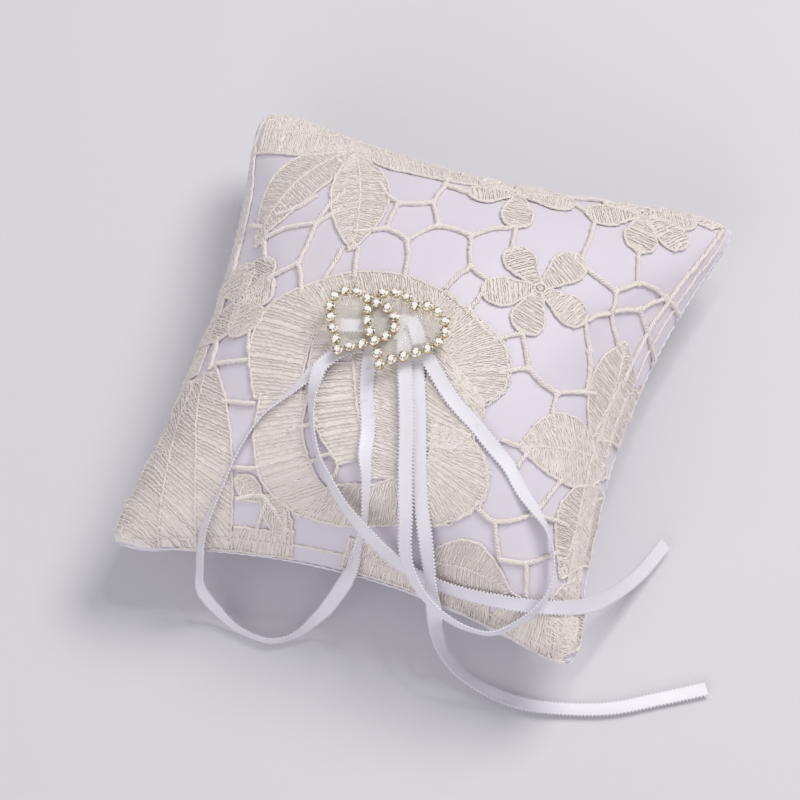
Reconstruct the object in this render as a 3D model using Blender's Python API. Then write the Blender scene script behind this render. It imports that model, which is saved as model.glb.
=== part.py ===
"""A small square ring bearer pillow.

A satin case with a fibre filling lies on its underside. Lace covers its top panel and is caught in
the side seam. A casting of two linked hearts, set with glass stones, is glued over the middle of
two narrow ribbons, whose loops and tails lie over the front of the pillow.
Metres, +Z up. The origin is under the middle of the pillow, on the surface that it rests on.
"""

import math

import bmesh
import bpy
import numpy as np
from mathutils import Matrix, Vector

MM = 0.001

# Plan of the pillow, corner to corner, before the corners are blunted.
FRONT_WIDTH = 98.0 * MM
BACK_WIDTH = 107.0 * MM
DEPTH = 108.0 * MM
BACK_CORNER_SHIFT = 3.8 * MM  # the back left corner stands this far left of the front left one
FRONT_EDGE_SKEW = 2.0 * MM  # the right end of the front edge stands this far back
BACK_EDGE_SKEW = 3.1 * MM
# How far the filling draws in the middle of each side.
FRONT_PULL = 8.6 * MM
BACK_PULL = 6.0 * MM
LEFT_PULL = 6.0 * MM
RIGHT_PULL = 8.8 * MM
CORNER_CUT = 2.6 * MM  # what a blunt corner loses
CORNER_SHARPNESS = 12  # power that keeps the cut near the corner

# Heights.
TOP_CROWN = 28.0 * MM  # from the seam to the top of the lace
BOTTOM_CROWN = 20.0 * MM  # from the seam to where the underside would reach if it weren't resting
SEAM_HEIGHT = 17.0 * MM
REST_FLAT = 0.0  # the underside lies flat here

# Cloths and filling, from the outside in.
LACE_THICKNESS = 0.6 * MM
SATIN_THICKNESS = 0.4 * MM
LAYER_GAP = 0.3 * MM
SEAM_THREAD_DIAMETER = 0.5 * MM
PANEL_STEPS = 16  # grid squares along a side of a panel

# The double heart casting. Its own frame lies on the lace, x to the right and y to the back.
ORNAMENT_U = -0.117
ORNAMENT_V = -0.098
ORNAMENT_LIFT = 2.4 * MM  # from the lace to the casting's underside
STONE_DIAMETER = 2.0 * MM
STONE_CLEARANCE = 0.05 * MM  # round a stone in its cup
STONE_GAP = 0.45 * MM  # least room between two stones, measured along a heart
CROSSING_GAP = 0.15 * MM  # least room between the stones of the two hearts
CUP_WALL = 0.22 * MM
CUP_HEIGHT = 1.3 * MM
CUP_FLOOR = 0.35 * MM
CUP_SIDES = 12
STONE_SIDES = 10
GIRDLE_HEIGHT = 1.15 * MM
PAVILION_DEPTH = 0.6 * MM
CROWN_HEIGHT = 0.55 * MM
TABLE_SHARE = 0.55  # of a stone's diameter
WIRE_DIAMETER = 1.0 * MM
WIRE_SIDES = 8
WIRE_POINTS = 36

LEFT_HEART = {"centre": (-6.05, -0.74), "half": (5.5, 6.56), "turn": -15.0}
RIGHT_HEART = {"centre": (2.8, 0.1), "half": (6.45, 7.9), "turn": -11.5}

GLUE_BED = 0.6 * MM  # from the lace to the underside of the glue, at the ornament's middle
GLUE_SIDES = 20
GLUE_PADS = {
    "clear_glue_left": ((-7.8, 2.4), (2.9, 1.9)),
    "clear_glue_right": ((7.8, 2.2), (2.7, 1.9)),
}

# Ribbon.
RIBBON_WIDTH = 3.0 * MM
RIBBON_THICKNESS = 0.3 * MM
ROUTE_SPACING = 2.2 * MM  # between sections of a ribbon's strip
FOLD_THICKNESS = 0.5 * MM
FOLDS = {
    "ribbon_fold_left": ((-6.9, -1.7, -0.95), (-2.9, -1.2, -0.95)),
    "ribbon_fold_right": ((0.6, 4.0, -0.95), (3.4, 3.4, -0.95)),
}

# Ribbon routes: x, y, z in millimetres, and the twist in degrees from lying level.
ROUTES = {
    "ribbon_loop_left": (
        (-13, -9, 44.5, -5), (-14.5, -12, 43.5, -10), (-17.5, -17, 42.3, -20),
        (-20.5, -22, 41, -50), (-25, -28, 38.5, -65), (-27.5, -35, 35.5, -70),
        (-29, -42.5, 31, -65), (-30.5, -49, 25, -50), (-30.5, -53, 16, -55),
        (-29.5, -55.5, 9, -60), (-25.5, -57, 4, -70), (-21, -58.5, 2, -85), (-14, -59, 2, -95),
        (-9.5, -56.5, 2.5, -90), (-5.5, -53, 7, -65), (-2.5, -50.5, 14, -50),
        (0, -48, 23, -60), (0.5, -44.5, 29, -75), (0.5, -40.5, 33, -70), (-1, -34.5, 38, -50),
        (-2.5, -30.5, 39.8, -25), (-3.5, -25.5, 41.3, -5), (-6, -18.5, 43.2, 5), (-7.5, -12, 44.5, 5),
        (-8, -9.5, 44.7, 5),
    ),
    "ribbon_loop_right": (
        (-2.9, -4, 46.4, 0), (-0.5, -11, 46, 0), (3.5, -22.5, 43.5, -10), (6, -31, 40, -10),
        (8.5, -39, 35.2, -20), (10, -44, 31.2, -35), (11.5, -46.5, 29.2, -55), (14, -49, 27.3, -70),
        (18, -51.5, 25.5, -85), (22.5, -52.5, 23, -92), (26.5, -52.5, 21.5, -98),
        (30.5, -52, 21.5, -100), (35, -50, 25, -95), (38, -47.5, 28.5, -90), (39.5, -43.5, 30, -90),
        (39, -38.5, 31, -90), (37.5, -35, 32, -85), (35.5, -32, 33, -65), (32.5, -29.5, 34.2, -35),
        (29, -27, 35.5, -20), (25, -23.5, 38, -5), (21.5, -21.5, 39.5, 5), (16.5, -18.5, 41.5, 5),
        (11, -15.5, 43.4, 5), (5.5, -11, 45.6, 10), (3, -8.5, 46.3, 10),
    ),
    "ribbon_tail_upper": (
        (-9.8, -10.5, 45.5, 0), (-13, -12.5, 45.2, -5), (-16, -16.5, 44.6, -10),
        (-16.3, -19, 44, -20), (-16, -22.5, 43, -55), (-14.5, -27.5, 41, -75), (-11.5, -33, 38.5, -80),
        (-7.5, -37, 36.5, -75), (-3.5, -40.5, 35, -70), (1, -43.5, 34.3, -60), (5.5, -45, 30.6, -65),
        (10, -45.3, 25.9, -65), (16.5, -46.2, 24.2, -65), (23, -46.5, 24, -60), (30.5, -46.7, 25.7, -50),
        (36.5, -46, 26, -45), (42, -44.3, 25.3, -45), (46.7, -40, 20, -50), (51, -31, 10.5, -50),
        (54.5, -22, 4.5, -40), (57, -14, 2.5, -35),
    ),
    "ribbon_tail_lower": (
        (-1.5, -4.5, 45.4, 0), (1.5, -10, 45, 0), (4.5, -17.5, 43.5, 0), (7.5, -26.5, 40.5, -5),
        (10.5, -35, 36, -10), (14, -42.5, 31, -30), (16.5, -47.5, 25.5, -50), (18, -50, 18.5, -20),
        (19, -51, 11, 10), (21, -52.5, 6, 25), (25, -54.5, 3, 30), (31, -56, 2, 20),
        (38.5, -56.5, 1.5, 10), (46.5, -55, 1, 10), (56, -52, 1, 5), (65, -47, 1, 0),
        (73.5, -42, 1, 0),
    ),
}


def material(name, colour, roughness, metallic=0.0, transmission=0.0):
    """A Principled material."""
    made = bpy.data.materials.new(name)
    made.use_nodes = True
    shader = made.node_tree.nodes["Principled BSDF"]
    shader.inputs["Base Color"].default_value = (*colour, 1.0)
    shader.inputs["Roughness"].default_value = roughness
    shader.inputs["Metallic"].default_value = metallic
    shader.inputs["Transmission Weight"].default_value = transmission
    return made


def new_object(name, mesh_maker, finish, collection=None, turn_outwards=True):
    """An object whose mesh is what mesh_maker builds, with its faces turned outwards."""
    mesh = bpy.data.meshes.new(name)
    built = bmesh.new()
    mesh_maker(built)
    if turn_outwards:
        bmesh.ops.recalc_face_normals(built, faces=built.faces)
    built.to_mesh(mesh)
    built.free()
    made = bpy.data.objects.new(name, mesh)
    (collection or bpy.context.scene.collection).objects.link(made)
    if finish:
        mesh.materials.append(finish)
    return made


def hide_tool(tool):
    """Marks an object as a tool that shapes another and isn't a piece itself."""
    tool.hide_render = True
    tool.display_type = "WIRE"
    return tool


def shade_round(piece, angle=35.0):
    """Shades a piece smooth, apart from edges sharper than the angle."""
    piece.data.shade_smooth()
    piece.data.set_sharp_from_angle(angle=math.radians(angle))


# ---------------------------------------------------------------- the pillow's form


def corner_places():
    """The four corners of the plan: front left, front right, back left, back right."""
    return np.array(
        [
            (0.0, 0.0),
            (FRONT_WIDTH, FRONT_EDGE_SKEW),
            (-BACK_CORNER_SHIFT, DEPTH),
            (BACK_WIDTH - BACK_CORNER_SHIFT, DEPTH + BACK_EDGE_SKEW),
        ]
    )


def uncentred_plan(u, v, outset):
    """Plan point at u, v, each from -1 to 1 across the panel, for a layer this far out."""
    u, v = np.asarray(u, float), np.asarray(v, float)
    mean_half = (FRONT_WIDTH + BACK_WIDTH + 2 * DEPTH) / 8
    side_pull = (RIGHT_PULL * (1 + u) + LEFT_PULL * (1 - u)) / 2 / mean_half
    end_pull = (BACK_PULL * (1 + v) + FRONT_PULL * (1 - v)) / 2 / mean_half
    cut = 1 - CORNER_CUT / mean_half * (u * v) ** CORNER_SHARPNESS
    across = u * (1 - side_pull * (1 - v * v)) * cut
    along = v * (1 - end_pull * (1 - u * u)) * cut
    front_left, front_right, back_left, back_right = corner_places()
    shares = [
        (1 - across) * (1 - along),
        (1 + across) * (1 - along),
        (1 - across) * (1 + along),
        (1 + across) * (1 + along),
    ]
    corners = (front_left, front_right, back_left, back_right)
    middle = sum(corners) / 4
    flat = sum(np.multiply.outer(share / 4, corner - middle) for share, corner in zip(shares, corners))
    return flat * (1 + outset / mean_half)


def plan_centre():
    """Middle of the outermost layer's outline box."""
    edge = np.linspace(-1, 1, 201)
    ones = np.ones_like(edge)
    outline = np.concatenate(
        [uncentred_plan(u, v, 0.0) for u, v in ((edge, ones), (edge, -ones), (ones, edge), (-ones, edge))]
    )
    return (outline.min(axis=0) + outline.max(axis=0)) / 2


def fullness(u, v):
    """1 at the middle of a panel, and 0 round its seam, where it meets the seam upright."""
    return np.sqrt(np.clip((1 - np.square(u)) * (1 - np.square(v)), 0, 1))


def rim_rise():
    """Half the opening between the two panels at the seam, which holds the seam's thread."""
    return SEAM_THREAD_DIAMETER / 2 + LAYER_GAP


def top_surface(u, v, outset):
    """Point of a top layer. An outset of 0 is the outside of the lace."""
    height = SEAM_HEIGHT + rim_rise() + (TOP_CROWN - rim_rise() + outset) * fullness(u, v)
    return np.concatenate([uncentred_plan(u, v, outset) - plan_centre(), height[..., None]], axis=-1)


def bottom_surface(u, v, outset, lowest):
    """Point of an underside layer, flattened where it would go below its lowest level."""
    height = SEAM_HEIGHT - rim_rise() - (BOTTOM_CROWN + outset) * fullness(u, v)
    height = np.maximum(height, lowest)
    return np.concatenate([uncentred_plan(u, v, outset) - plan_centre(), height[..., None]], axis=-1)


def panel_grid():
    """u and v of a panel's grid, closer together near the seam, where the panel turns down."""
    steps = np.sin(np.linspace(-math.pi / 2, math.pi / 2, PANEL_STEPS + 1))
    return np.meshgrid(steps, steps, indexing="ij")


def add_grid(built, points, facing_up):
    """Adds a sheet of points to the mesh, and gives its vertices by row and column.

    Each square is cut along the diagonal that runs round the sheet's middle, in every layer alike.
    """
    rows = [[built.verts.new(point) for point in row] for row in points]
    middle = (len(rows) - 2) / 2
    for i, (near, far) in enumerate(zip(rows, rows[1:])):
        for j in range(len(near) - 1):
            a, b, c, d = near[j], far[j], far[j + 1], near[j + 1]
            same_sides = (i - middle) * (j - middle) > 0
            for corners in ((a, b, d), (b, c, d)) if same_sides else ((a, b, c), (a, c, d)):
                built.faces.new(corners if facing_up else corners[::-1])
    return rows


def rim_of(rows):
    """The vertices round a sheet, in order."""
    last = len(rows) - 1
    return (
        [rows[i][0] for i in range(last)]
        + [rows[last][j] for j in range(last)]
        + [rows[i][last] for i in range(last, 0, -1)]
        + [rows[0][j] for j in range(last, 0, -1)]
    )


def shell(name, upper, lower, finish):
    """A closed piece between an upper and a lower sheet of points, which share their outline."""

    def make(built):
        high = rim_of(add_grid(built, upper, facing_up=True))
        low = rim_of(add_grid(built, lower, facing_up=False))
        for i in range(len(high)):
            j = (i + 1) % len(high)
            built.faces.new((high[i], low[i], low[j], high[j]))

    made = new_object(name, make, finish, turn_outwards=False)
    shade_round(made, 60.0)


def layer_outsets():
    """How far each layer's faces lie from the outside of the lace, outermost first."""
    lace_in = -LACE_THICKNESS
    satin_out = lace_in - LAYER_GAP
    satin_in = satin_out - SATIN_THICKNESS
    return lace_in, satin_out, satin_in, satin_in - LAYER_GAP


def make_case(satin, lace, fibre):
    """The two satin panels, the lace over the top one, and the filling."""
    u, v = panel_grid()
    lace_in, satin_out, satin_in, fibre_out = layer_outsets()
    shell("lace_overlay", top_surface(u, v, 0.0), top_surface(u, v, lace_in), lace)
    shell("satin_top_panel", top_surface(u, v, satin_out), top_surface(u, v, satin_in), satin)
    shell(
        "satin_bottom_panel",
        bottom_surface(u, v, satin_in, REST_FLAT + SATIN_THICKNESS),
        bottom_surface(u, v, satin_out, REST_FLAT),
        satin,
    )
    filling_floor = REST_FLAT + SATIN_THICKNESS + LAYER_GAP
    shell(
        "fibre_filling",
        top_surface(u, v, fibre_out),
        bottom_surface(u, v, fibre_out, filling_floor),
        fibre,
    )


# ---------------------------------------------------------------- strips and tubes


def smooth_path(points, spacing):
    """Points this far apart on a smooth curve through the given rows of numbers."""
    points = np.asarray(points, float)
    chords = np.linalg.norm(np.diff(points[:, :3], axis=0), axis=1)
    knots = np.concatenate([[0.0], np.cumsum(np.sqrt(chords))])
    slopes = np.gradient(points, knots, axis=0)
    count = max(2, round(chords.sum() / spacing))
    rows = []
    for place in np.linspace(0, knots[-1], count + 1):
        i = min(np.searchsorted(knots, place, side="right") - 1, len(knots) - 2)
        step = knots[i + 1] - knots[i]
        t = (place - knots[i]) / step
        rows.append(
            (2 * t**3 - 3 * t**2 + 1) * points[i]
            + (t**3 - 2 * t**2 + t) * step * slopes[i]
            + (3 * t**2 - 2 * t**3) * points[i + 1]
            + (t**3 - t**2) * step * slopes[i + 1]
        )
    return np.array(rows)


def level_frame(tangent):
    """Sideways and upright directions across a path, the upright one as near +Z as it can be."""
    up = Vector((0, 0, 1)) - tangent * tangent.z
    up.normalize()
    return tangent.cross(up), up


def add_sweep(built, path, profile, twists=None, closed=False):
    """Sweeps a closed profile of (side, up) offsets along a path of points."""
    rings = []
    count = len(path)
    for i, place in enumerate(path):
        ahead = path[(i + 1) % count] if closed or i + 1 < count else place
        behind = path[i - 1] if closed or i else place
        side, up = level_frame(Vector(ahead - behind).normalized())
        turn = math.radians(twists[i]) if twists is not None else 0.0
        across = side * math.cos(turn) + up * math.sin(turn)
        face = up * math.cos(turn) - side * math.sin(turn)
        rings.append([built.verts.new(Vector(place) + across * a + face * b) for a, b in profile])
    spans = zip(rings, rings[1:] + rings[:1]) if closed else zip(rings, rings[1:])
    for near, far in spans:
        for k in range(len(profile)):
            m = (k + 1) % len(profile)
            built.faces.new((near[k], near[m], far[m], far[k]))
    if not closed:
        built.faces.new(rings[0])
        built.faces.new(rings[-1][::-1])


def round_profile(diameter, sides):
    """Corners of a regular profile."""
    turns = [2 * math.pi * (k + 0.5) / sides for k in range(sides)]
    return [(diameter / 2 * math.cos(t), diameter / 2 * math.sin(t)) for t in turns]


def flat_profile(width, thickness):
    """Corners of a strip's section."""
    a, b = width / 2, thickness / 2
    return [(-a, -b), (a, -b), (a, b), (-a, b)]


def make_seam_thread(finish):
    """The thread that closes the side seam, a ring between the two panels' rims."""
    thread_outset = layer_outsets()[1] - SATIN_THICKNESS / 2
    edge = np.sin(np.linspace(-math.pi / 2, math.pi / 2, PANEL_STEPS + 1))[:-1]
    ones = np.ones_like(edge)
    sides = ((edge, -ones), (ones, edge), (-edge, ones), (-ones, -edge))
    flat = np.concatenate([uncentred_plan(u, v, thread_outset) for u, v in sides]) - plan_centre()
    path = np.column_stack([flat, np.full(len(flat), SEAM_HEIGHT)])
    profile = round_profile(SEAM_THREAD_DIAMETER, 6)
    made = new_object("seam_thread", lambda b: add_sweep(b, path, profile, closed=True), finish)
    shade_round(made)


def make_ribbon(name, route, finish):
    """A ribbon's free stretch, a flat strip along its route."""
    rows = np.array(route, float)
    rows[:, :3] *= MM
    path = smooth_path(rows, ROUTE_SPACING)
    profile = flat_profile(RIBBON_WIDTH, RIBBON_THICKNESS)
    made = new_object(name, lambda b: add_sweep(b, path[:, :3], profile, path[:, 3]), finish)
    shade_round(made)


# ---------------------------------------------------------------- the ornament


def ornament_frame():
    """Matrix from the casting's own frame, whose z = 0 is its underside, to the world."""
    step = 0.01
    u, v = np.array(ORNAMENT_U), np.array(ORNAMENT_V)
    place = Vector(top_surface(u, v, 0.0))
    along_u = Vector(top_surface(u + step, v, 0.0) - top_surface(u - step, v, 0.0))
    along_v = Vector(top_surface(u, v + step, 0.0) - top_surface(u, v - step, 0.0))
    normal = along_u.cross(along_v).normalized()
    right = (Vector((1, 0, 0)) - normal * normal.x).normalized()
    back = normal.cross(right)
    turned = Matrix((right, back, normal)).transposed().to_4x4()
    return Matrix.Translation(place + normal * ORNAMENT_LIFT) @ turned


def heart_outline(heart, count=None):
    """Points evenly spaced round a heart's middle line, from its tip, in the casting's frame.

    Without a count there are as many as it holds stones.
    """
    t = np.linspace(math.pi, 3 * math.pi, 721)
    half_width, half_height = heart["half"]
    x = half_width * (np.sin(t) - 0.303 * np.sin(3 * t))
    y = half_height * (np.cos(t) - 0.25 * np.cos(2 * t) - 0.079 * np.cos(3 * t) - 0.013 * np.cos(4 * t))
    turn = math.radians(heart["turn"])
    across = heart["centre"][0] + x * math.cos(turn) - y * math.sin(turn)
    along = heart["centre"][1] + x * math.sin(turn) + y * math.cos(turn)
    lengths = np.concatenate([[0.0], np.cumsum(np.hypot(np.diff(across), np.diff(along)))])
    count = count or int(lengths[-1] * MM / (STONE_DIAMETER + STONE_GAP))
    places = np.arange(count) * lengths[-1] / count
    return np.column_stack([np.interp(places, lengths, across), np.interp(places, lengths, along)]) * MM


def stone_places():
    """Middle of each stone, by name. The right heart has none where the left one crosses it."""
    left = heart_outline(LEFT_HEART)
    right = heart_outline(RIGHT_HEART)
    places = {f"stone_left_{i + 1:02d}": place for i, place in enumerate(left)}
    apart = STONE_DIAMETER + CROSSING_GAP
    clear = [p for p in right if np.hypot(*(left - p).T).min() >= apart]
    places.update({f"stone_right_{i + 1:02d}": place for i, place in enumerate(clear)})
    return places


def add_cylinder(built, centre, radius, low, high, sides):
    """Adds an upright cylinder to the mesh."""
    place = Matrix.Translation((*centre, (low + high) / 2))
    bmesh.ops.create_cone(
        built, cap_ends=True, segments=sides, radius1=radius, radius2=radius, depth=high - low, matrix=place
    )


def add_stone(built):
    """Adds a cut stone round the origin of its own frame, z from the cup's base."""
    radius = STONE_DIAMETER / 2
    turns = [2 * math.pi * k / STONE_SIDES for k in range(STONE_SIDES)]
    table_height = GIRDLE_HEIGHT + CROWN_HEIGHT
    girdle = [built.verts.new((radius * math.cos(t), radius * math.sin(t), GIRDLE_HEIGHT)) for t in turns]
    table_radius = radius * TABLE_SHARE
    half_step = math.pi / STONE_SIDES
    table = [
        built.verts.new(
            (table_radius * math.cos(t + half_step), table_radius * math.sin(t + half_step), table_height)
        )
        for t in turns
    ]
    point = built.verts.new((0, 0, GIRDLE_HEIGHT - PAVILION_DEPTH))
    built.faces.new(table)
    for k in range(STONE_SIDES):
        m = (k + 1) % STONE_SIDES
        built.faces.new((girdle[k], girdle[m], table[k]))
        built.faces.new((girdle[m], table[m], table[k]))
        built.faces.new((point, girdle[m], girdle[k]))


def boolean(piece, name, operation, tools):
    """Adds an exact Boolean with a collection of tools."""
    cut = piece.modifiers.new(name, "BOOLEAN")
    cut.operation = operation
    cut.operand_type = "COLLECTION"
    cut.collection = tools
    cut.solver = "EXACT"


def tool_collection(name):
    """A collection for hidden tools."""
    made = bpy.data.collections.new(name)
    bpy.context.scene.collection.children.link(made)
    return made


def make_casting(frame, gold):
    """Both hearts in one casting: a wire round each, with a bored cup for every stone."""
    profile = round_profile(WIRE_DIAMETER, WIRE_SIDES)

    def add_wire(built, heart):
        flat = heart_outline(heart, WIRE_POINTS)
        path = np.column_stack([flat, np.full(len(flat), WIRE_DIAMETER / 2)])
        add_sweep(built, path, profile, closed=True)

    casting = new_object("double_heart_casting", lambda b: add_wire(b, LEFT_HEART), gold)
    additions = tool_collection("casting_additions")
    seats = tool_collection("stone_seats")
    tools = [hide_tool(new_object("right_wire", lambda b: add_wire(b, RIGHT_HEART), None, additions))]

    bore_radius = STONE_DIAMETER / 2 + STONE_CLEARANCE
    cup_radius = bore_radius + CUP_WALL
    bore_top = CUP_HEIGHT + CROWN_HEIGHT

    def add_tool(name, group, *sizes):
        tool = new_object(name, lambda b: add_cylinder(b, *sizes, CUP_SIDES), None, group)
        tools.append(hide_tool(tool))

    for name, centre in stone_places().items():
        add_tool(f"cup_{name}", additions, centre, cup_radius, 0.0, CUP_HEIGHT)
        add_tool(f"seat_{name}", seats, centre, bore_radius, CUP_FLOOR, bore_top)
    boolean(casting, "cups and right heart", "UNION", additions)
    boolean(casting, "seats", "DIFFERENCE", seats)
    for placed in [casting, *tools]:
        placed.matrix_world = frame
    return casting


def make_stones(frame, glass):
    """Every stone, as an object of its own that shares one mesh."""
    first = None
    for name, centre in stone_places().items():
        if first is None:
            first = new_object(name, add_stone, glass)
            stone = first
        else:
            stone = bpy.data.objects.new(name, first.data)
            bpy.context.scene.collection.objects.link(stone)
        stone.matrix_world = frame @ Matrix.Translation((*centre, 0.0))


def make_glue(frame, glue):
    """The clear pads that hold the casting down on both sides of the ribbons."""
    for name, (centre, half) in GLUE_PADS.items():

        def add_pad(built, centre=centre, half=half):
            add_cylinder(built, (0, 0), 1.0, GLUE_BED - ORNAMENT_LIFT, -LAYER_GAP, GLUE_SIDES)
            shape = Matrix.Diagonal((half[0] * MM, half[1] * MM, 1.0, 1.0))
            bmesh.ops.transform(built, matrix=shape, verts=built.verts)
            shift = Vector((centre[0] * MM, centre[1] * MM, 0.0))
            bmesh.ops.translate(built, vec=shift, verts=built.verts)

        pad = new_object(name, add_pad, glue)
        pad.matrix_world = frame
        shade_round(pad)


def make_folds(frame, finish):
    """The short folded middles of the two ribbons, under the casting."""
    profile = flat_profile(RIBBON_WIDTH, FOLD_THICKNESS)
    for name, ends in FOLDS.items():
        path = np.array(ends) * MM
        fold = new_object(name, lambda b, p=path: add_sweep(b, p, profile), finish)
        fold.matrix_world = frame


def main():
    """Builds the pillow."""
    for leftover in list(bpy.data.objects):
        bpy.data.objects.remove(leftover, do_unlink=True)
    satin = material("white satin", (0.80, 0.77, 0.86), 0.38)
    lace = material("ivory cotton lace", (0.76, 0.70, 0.62), 0.85)
    fibre = material("polyester fibre", (0.86, 0.86, 0.86), 0.95)
    thread = material("white sewing thread", (0.84, 0.83, 0.86), 0.6)
    ribbon = material("white satin ribbon", (0.87, 0.84, 0.92), 0.32)
    gold = material("pale gold plate", (0.83, 0.68, 0.38), 0.22, metallic=1.0)
    glass = material("clear cut glass", (0.96, 0.96, 0.94), 0.03, transmission=0.8)
    glue = material("clear glue", (0.93, 0.92, 0.86), 0.12, transmission=0.8)
    make_case(satin, lace, fibre)
    make_seam_thread(thread)
    frame = ornament_frame()
    make_casting(frame, gold)
    make_stones(frame, glass)
    make_glue(frame, glue)
    make_folds(frame, ribbon)
    for name, route in ROUTES.items():
        make_ribbon(name, route, ribbon)


main()
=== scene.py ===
"""Looks of a small square ring bearer pillow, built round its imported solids.

A satin case lies under an open ivory lace of leaves, flowers and twisted bars. Two linked hearts set with
stones are glued over the folds of two narrow ribbons. Everything is in metres, in the solids' own frame.
"""

import functools
import logging
import math
from dataclasses import dataclass, field
from enum import Enum

import bmesh
import bpy
import numpy as np
from bpy.types import Material, Node, NodeSocket, NodeTree, Object
from mathutils import Matrix, Vector


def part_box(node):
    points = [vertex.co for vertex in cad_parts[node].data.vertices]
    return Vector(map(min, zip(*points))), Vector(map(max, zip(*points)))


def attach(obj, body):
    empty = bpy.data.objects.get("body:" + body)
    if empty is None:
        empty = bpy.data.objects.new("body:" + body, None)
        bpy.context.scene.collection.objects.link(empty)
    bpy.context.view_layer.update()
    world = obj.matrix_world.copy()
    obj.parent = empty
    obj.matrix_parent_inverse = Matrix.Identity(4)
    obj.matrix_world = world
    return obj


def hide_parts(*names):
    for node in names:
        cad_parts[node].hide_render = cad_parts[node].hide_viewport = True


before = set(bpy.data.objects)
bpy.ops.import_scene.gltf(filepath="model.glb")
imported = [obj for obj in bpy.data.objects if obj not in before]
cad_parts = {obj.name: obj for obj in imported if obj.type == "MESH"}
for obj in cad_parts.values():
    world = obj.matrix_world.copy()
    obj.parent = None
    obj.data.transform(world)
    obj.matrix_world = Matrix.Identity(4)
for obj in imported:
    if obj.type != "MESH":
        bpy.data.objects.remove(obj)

LOG = logging.getLogger("ring_pillow")
MM = 0.001
BODY = "root"

Points = np.ndarray
Value = float | tuple | str | NodeSocket | Material | None


# ---- meshes


def link(obj: Object) -> Object:
    """Puts an object in the scene."""
    bpy.context.scene.collection.objects.link(obj)
    return obj


def mesh_object(
    name: str,
    points: Points,
    faces: list,
    finish: Material | None = None,
    edges: list | None = None,
) -> Object:
    """Makes an object from points and faces.

    Args:
        name: the object's name.
        points: vertices, in metres.
        faces: tuples of vertex numbers.
        finish: its material, if it has one yet.
        edges: loose edges, for guides that have no faces.

    Returns:
        The object, at the origin.
    """
    mesh = bpy.data.meshes.new(name)
    mesh.from_pydata([tuple(p) for p in points], edges or [], faces)
    mesh.update()
    if finish:
        mesh.materials.append(finish)
    if faces:
        mesh.shade_smooth()
    return link(bpy.data.objects.new(name, mesh))


def edge_guide(name: str, points: Points, edges: list, thickness: Points) -> Object:
    """Makes an object of loose edges, for threads to be laid along.

    Args:
        name: the object's name.
        points: vertices, in metres.
        edges: pairs of vertex numbers.
        thickness: the thread's share of its full radius at each vertex.

    Returns:
        The guide.
    """
    guide = mesh_object(name, points, [], edges=edges)
    share = guide.data.attributes.new("thickness", "FLOAT", "POINT")
    share.data.foreach_set("value", np.array(thickness, float))
    return guide


def from_bmesh(built: bmesh.types.BMesh, name: str) -> Object:
    """Makes an object from a closed bmesh, with its faces turned outward.

    Args:
        built: the bmesh, which is used up.
        name: the object's name.

    Returns:
        The object, at the origin.
    """
    bmesh.ops.recalc_face_normals(built, faces=built.faces)
    mesh = bpy.data.meshes.new(name)
    built.to_mesh(mesh)
    built.free()
    return link(bpy.data.objects.new(name, mesh))


def plain_copy(source: Object, name: str) -> Object:
    """Turns an object and its modifiers into a plain mesh object.

    Args:
        source: the object, which is removed.
        name: the name of the result.

    Returns:
        The new object, with the same materials.
    """
    graph = bpy.context.evaluated_depsgraph_get()
    mesh = bpy.data.meshes.new_from_object(source.evaluated_get(graph), depsgraph=graph)
    source.modifiers.clear()
    bpy.data.objects.remove(source, do_unlink=True)
    mesh.name = name
    return link(bpy.data.objects.new(name, mesh))


def grid_faces(rows: int, columns: int, start: int = 0, flip: bool = False) -> list:
    """Faces of a grid of vertices.

    Args:
        rows: how many rows of vertices it has.
        columns: how many vertices a row has.
        start: the number of its first vertex.
        flip: whether the faces look the other way.

    Returns:
        The faces, as tuples of vertex numbers.
    """
    faces = []
    for i in range(rows - 1):
        for j in range(columns - 1):
            a = start + i * columns + j
            face = (a, a + columns, a + columns + 1, a + 1)
            faces.append(face[::-1] if flip else face)
    return faces


def tube_faces(rings: int, around: int) -> list:
    """Faces of a tube with closed ends.

    Args:
        rings: how many rings of vertices it has.
        around: how many vertices a ring has.

    Returns:
        The faces, as tuples of vertex numbers.
    """
    faces = []
    for start in range(0, (rings - 1) * around, around):
        for j in range(around):
            k = (j + 1) % around
            faces.append((start + j, start + k, start + around + k, start + around + j))
    faces.append(tuple(range(around))[::-1])
    faces.append(tuple(range((rings - 1) * around, rings * around)))
    return faces


def smooth_curve(points: Points, spacing: float) -> Points:
    """Points about this far apart on a smooth curve through the given ones.

    Args:
        points: rows of numbers; the first columns are a place.
        spacing: distance between the results, in the places' unit.

    Returns:
        The rows of the curve, both ends included.
    """
    points = np.asarray(points, float)
    width = min(points.shape[1], 3)
    chords = np.linalg.norm(np.diff(points[:, :width], axis=0), axis=1)
    knots = np.concatenate([[0.0], np.cumsum(np.sqrt(chords))])
    slopes = np.gradient(points, knots, axis=0)
    count = max(2, round(chords.sum() / spacing))
    places = np.linspace(0, knots[-1], count + 1)
    index = np.clip(np.searchsorted(knots, places, side="right") - 1, 0, len(knots) - 2)
    step = (knots[index + 1] - knots[index])[:, None]
    t = (places - knots[index])[:, None] / step
    return (
        (2 * t**3 - 3 * t**2 + 1) * points[index]
        + (t**3 - 2 * t**2 + t) * step * slopes[index]
        + (3 * t**2 - 2 * t**3) * points[index + 1]
        + (t**3 - t**2) * step * slopes[index + 1]
    )


def turn_outward(obj: Object) -> None:
    """Turns a closed mesh's faces outward.

    Args:
        obj: the object, changed in place.
    """
    built = bmesh.new()
    built.from_mesh(obj.data)
    bmesh.ops.recalc_face_normals(built, faces=built.faces)
    built.to_mesh(obj.data)
    built.free()


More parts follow.
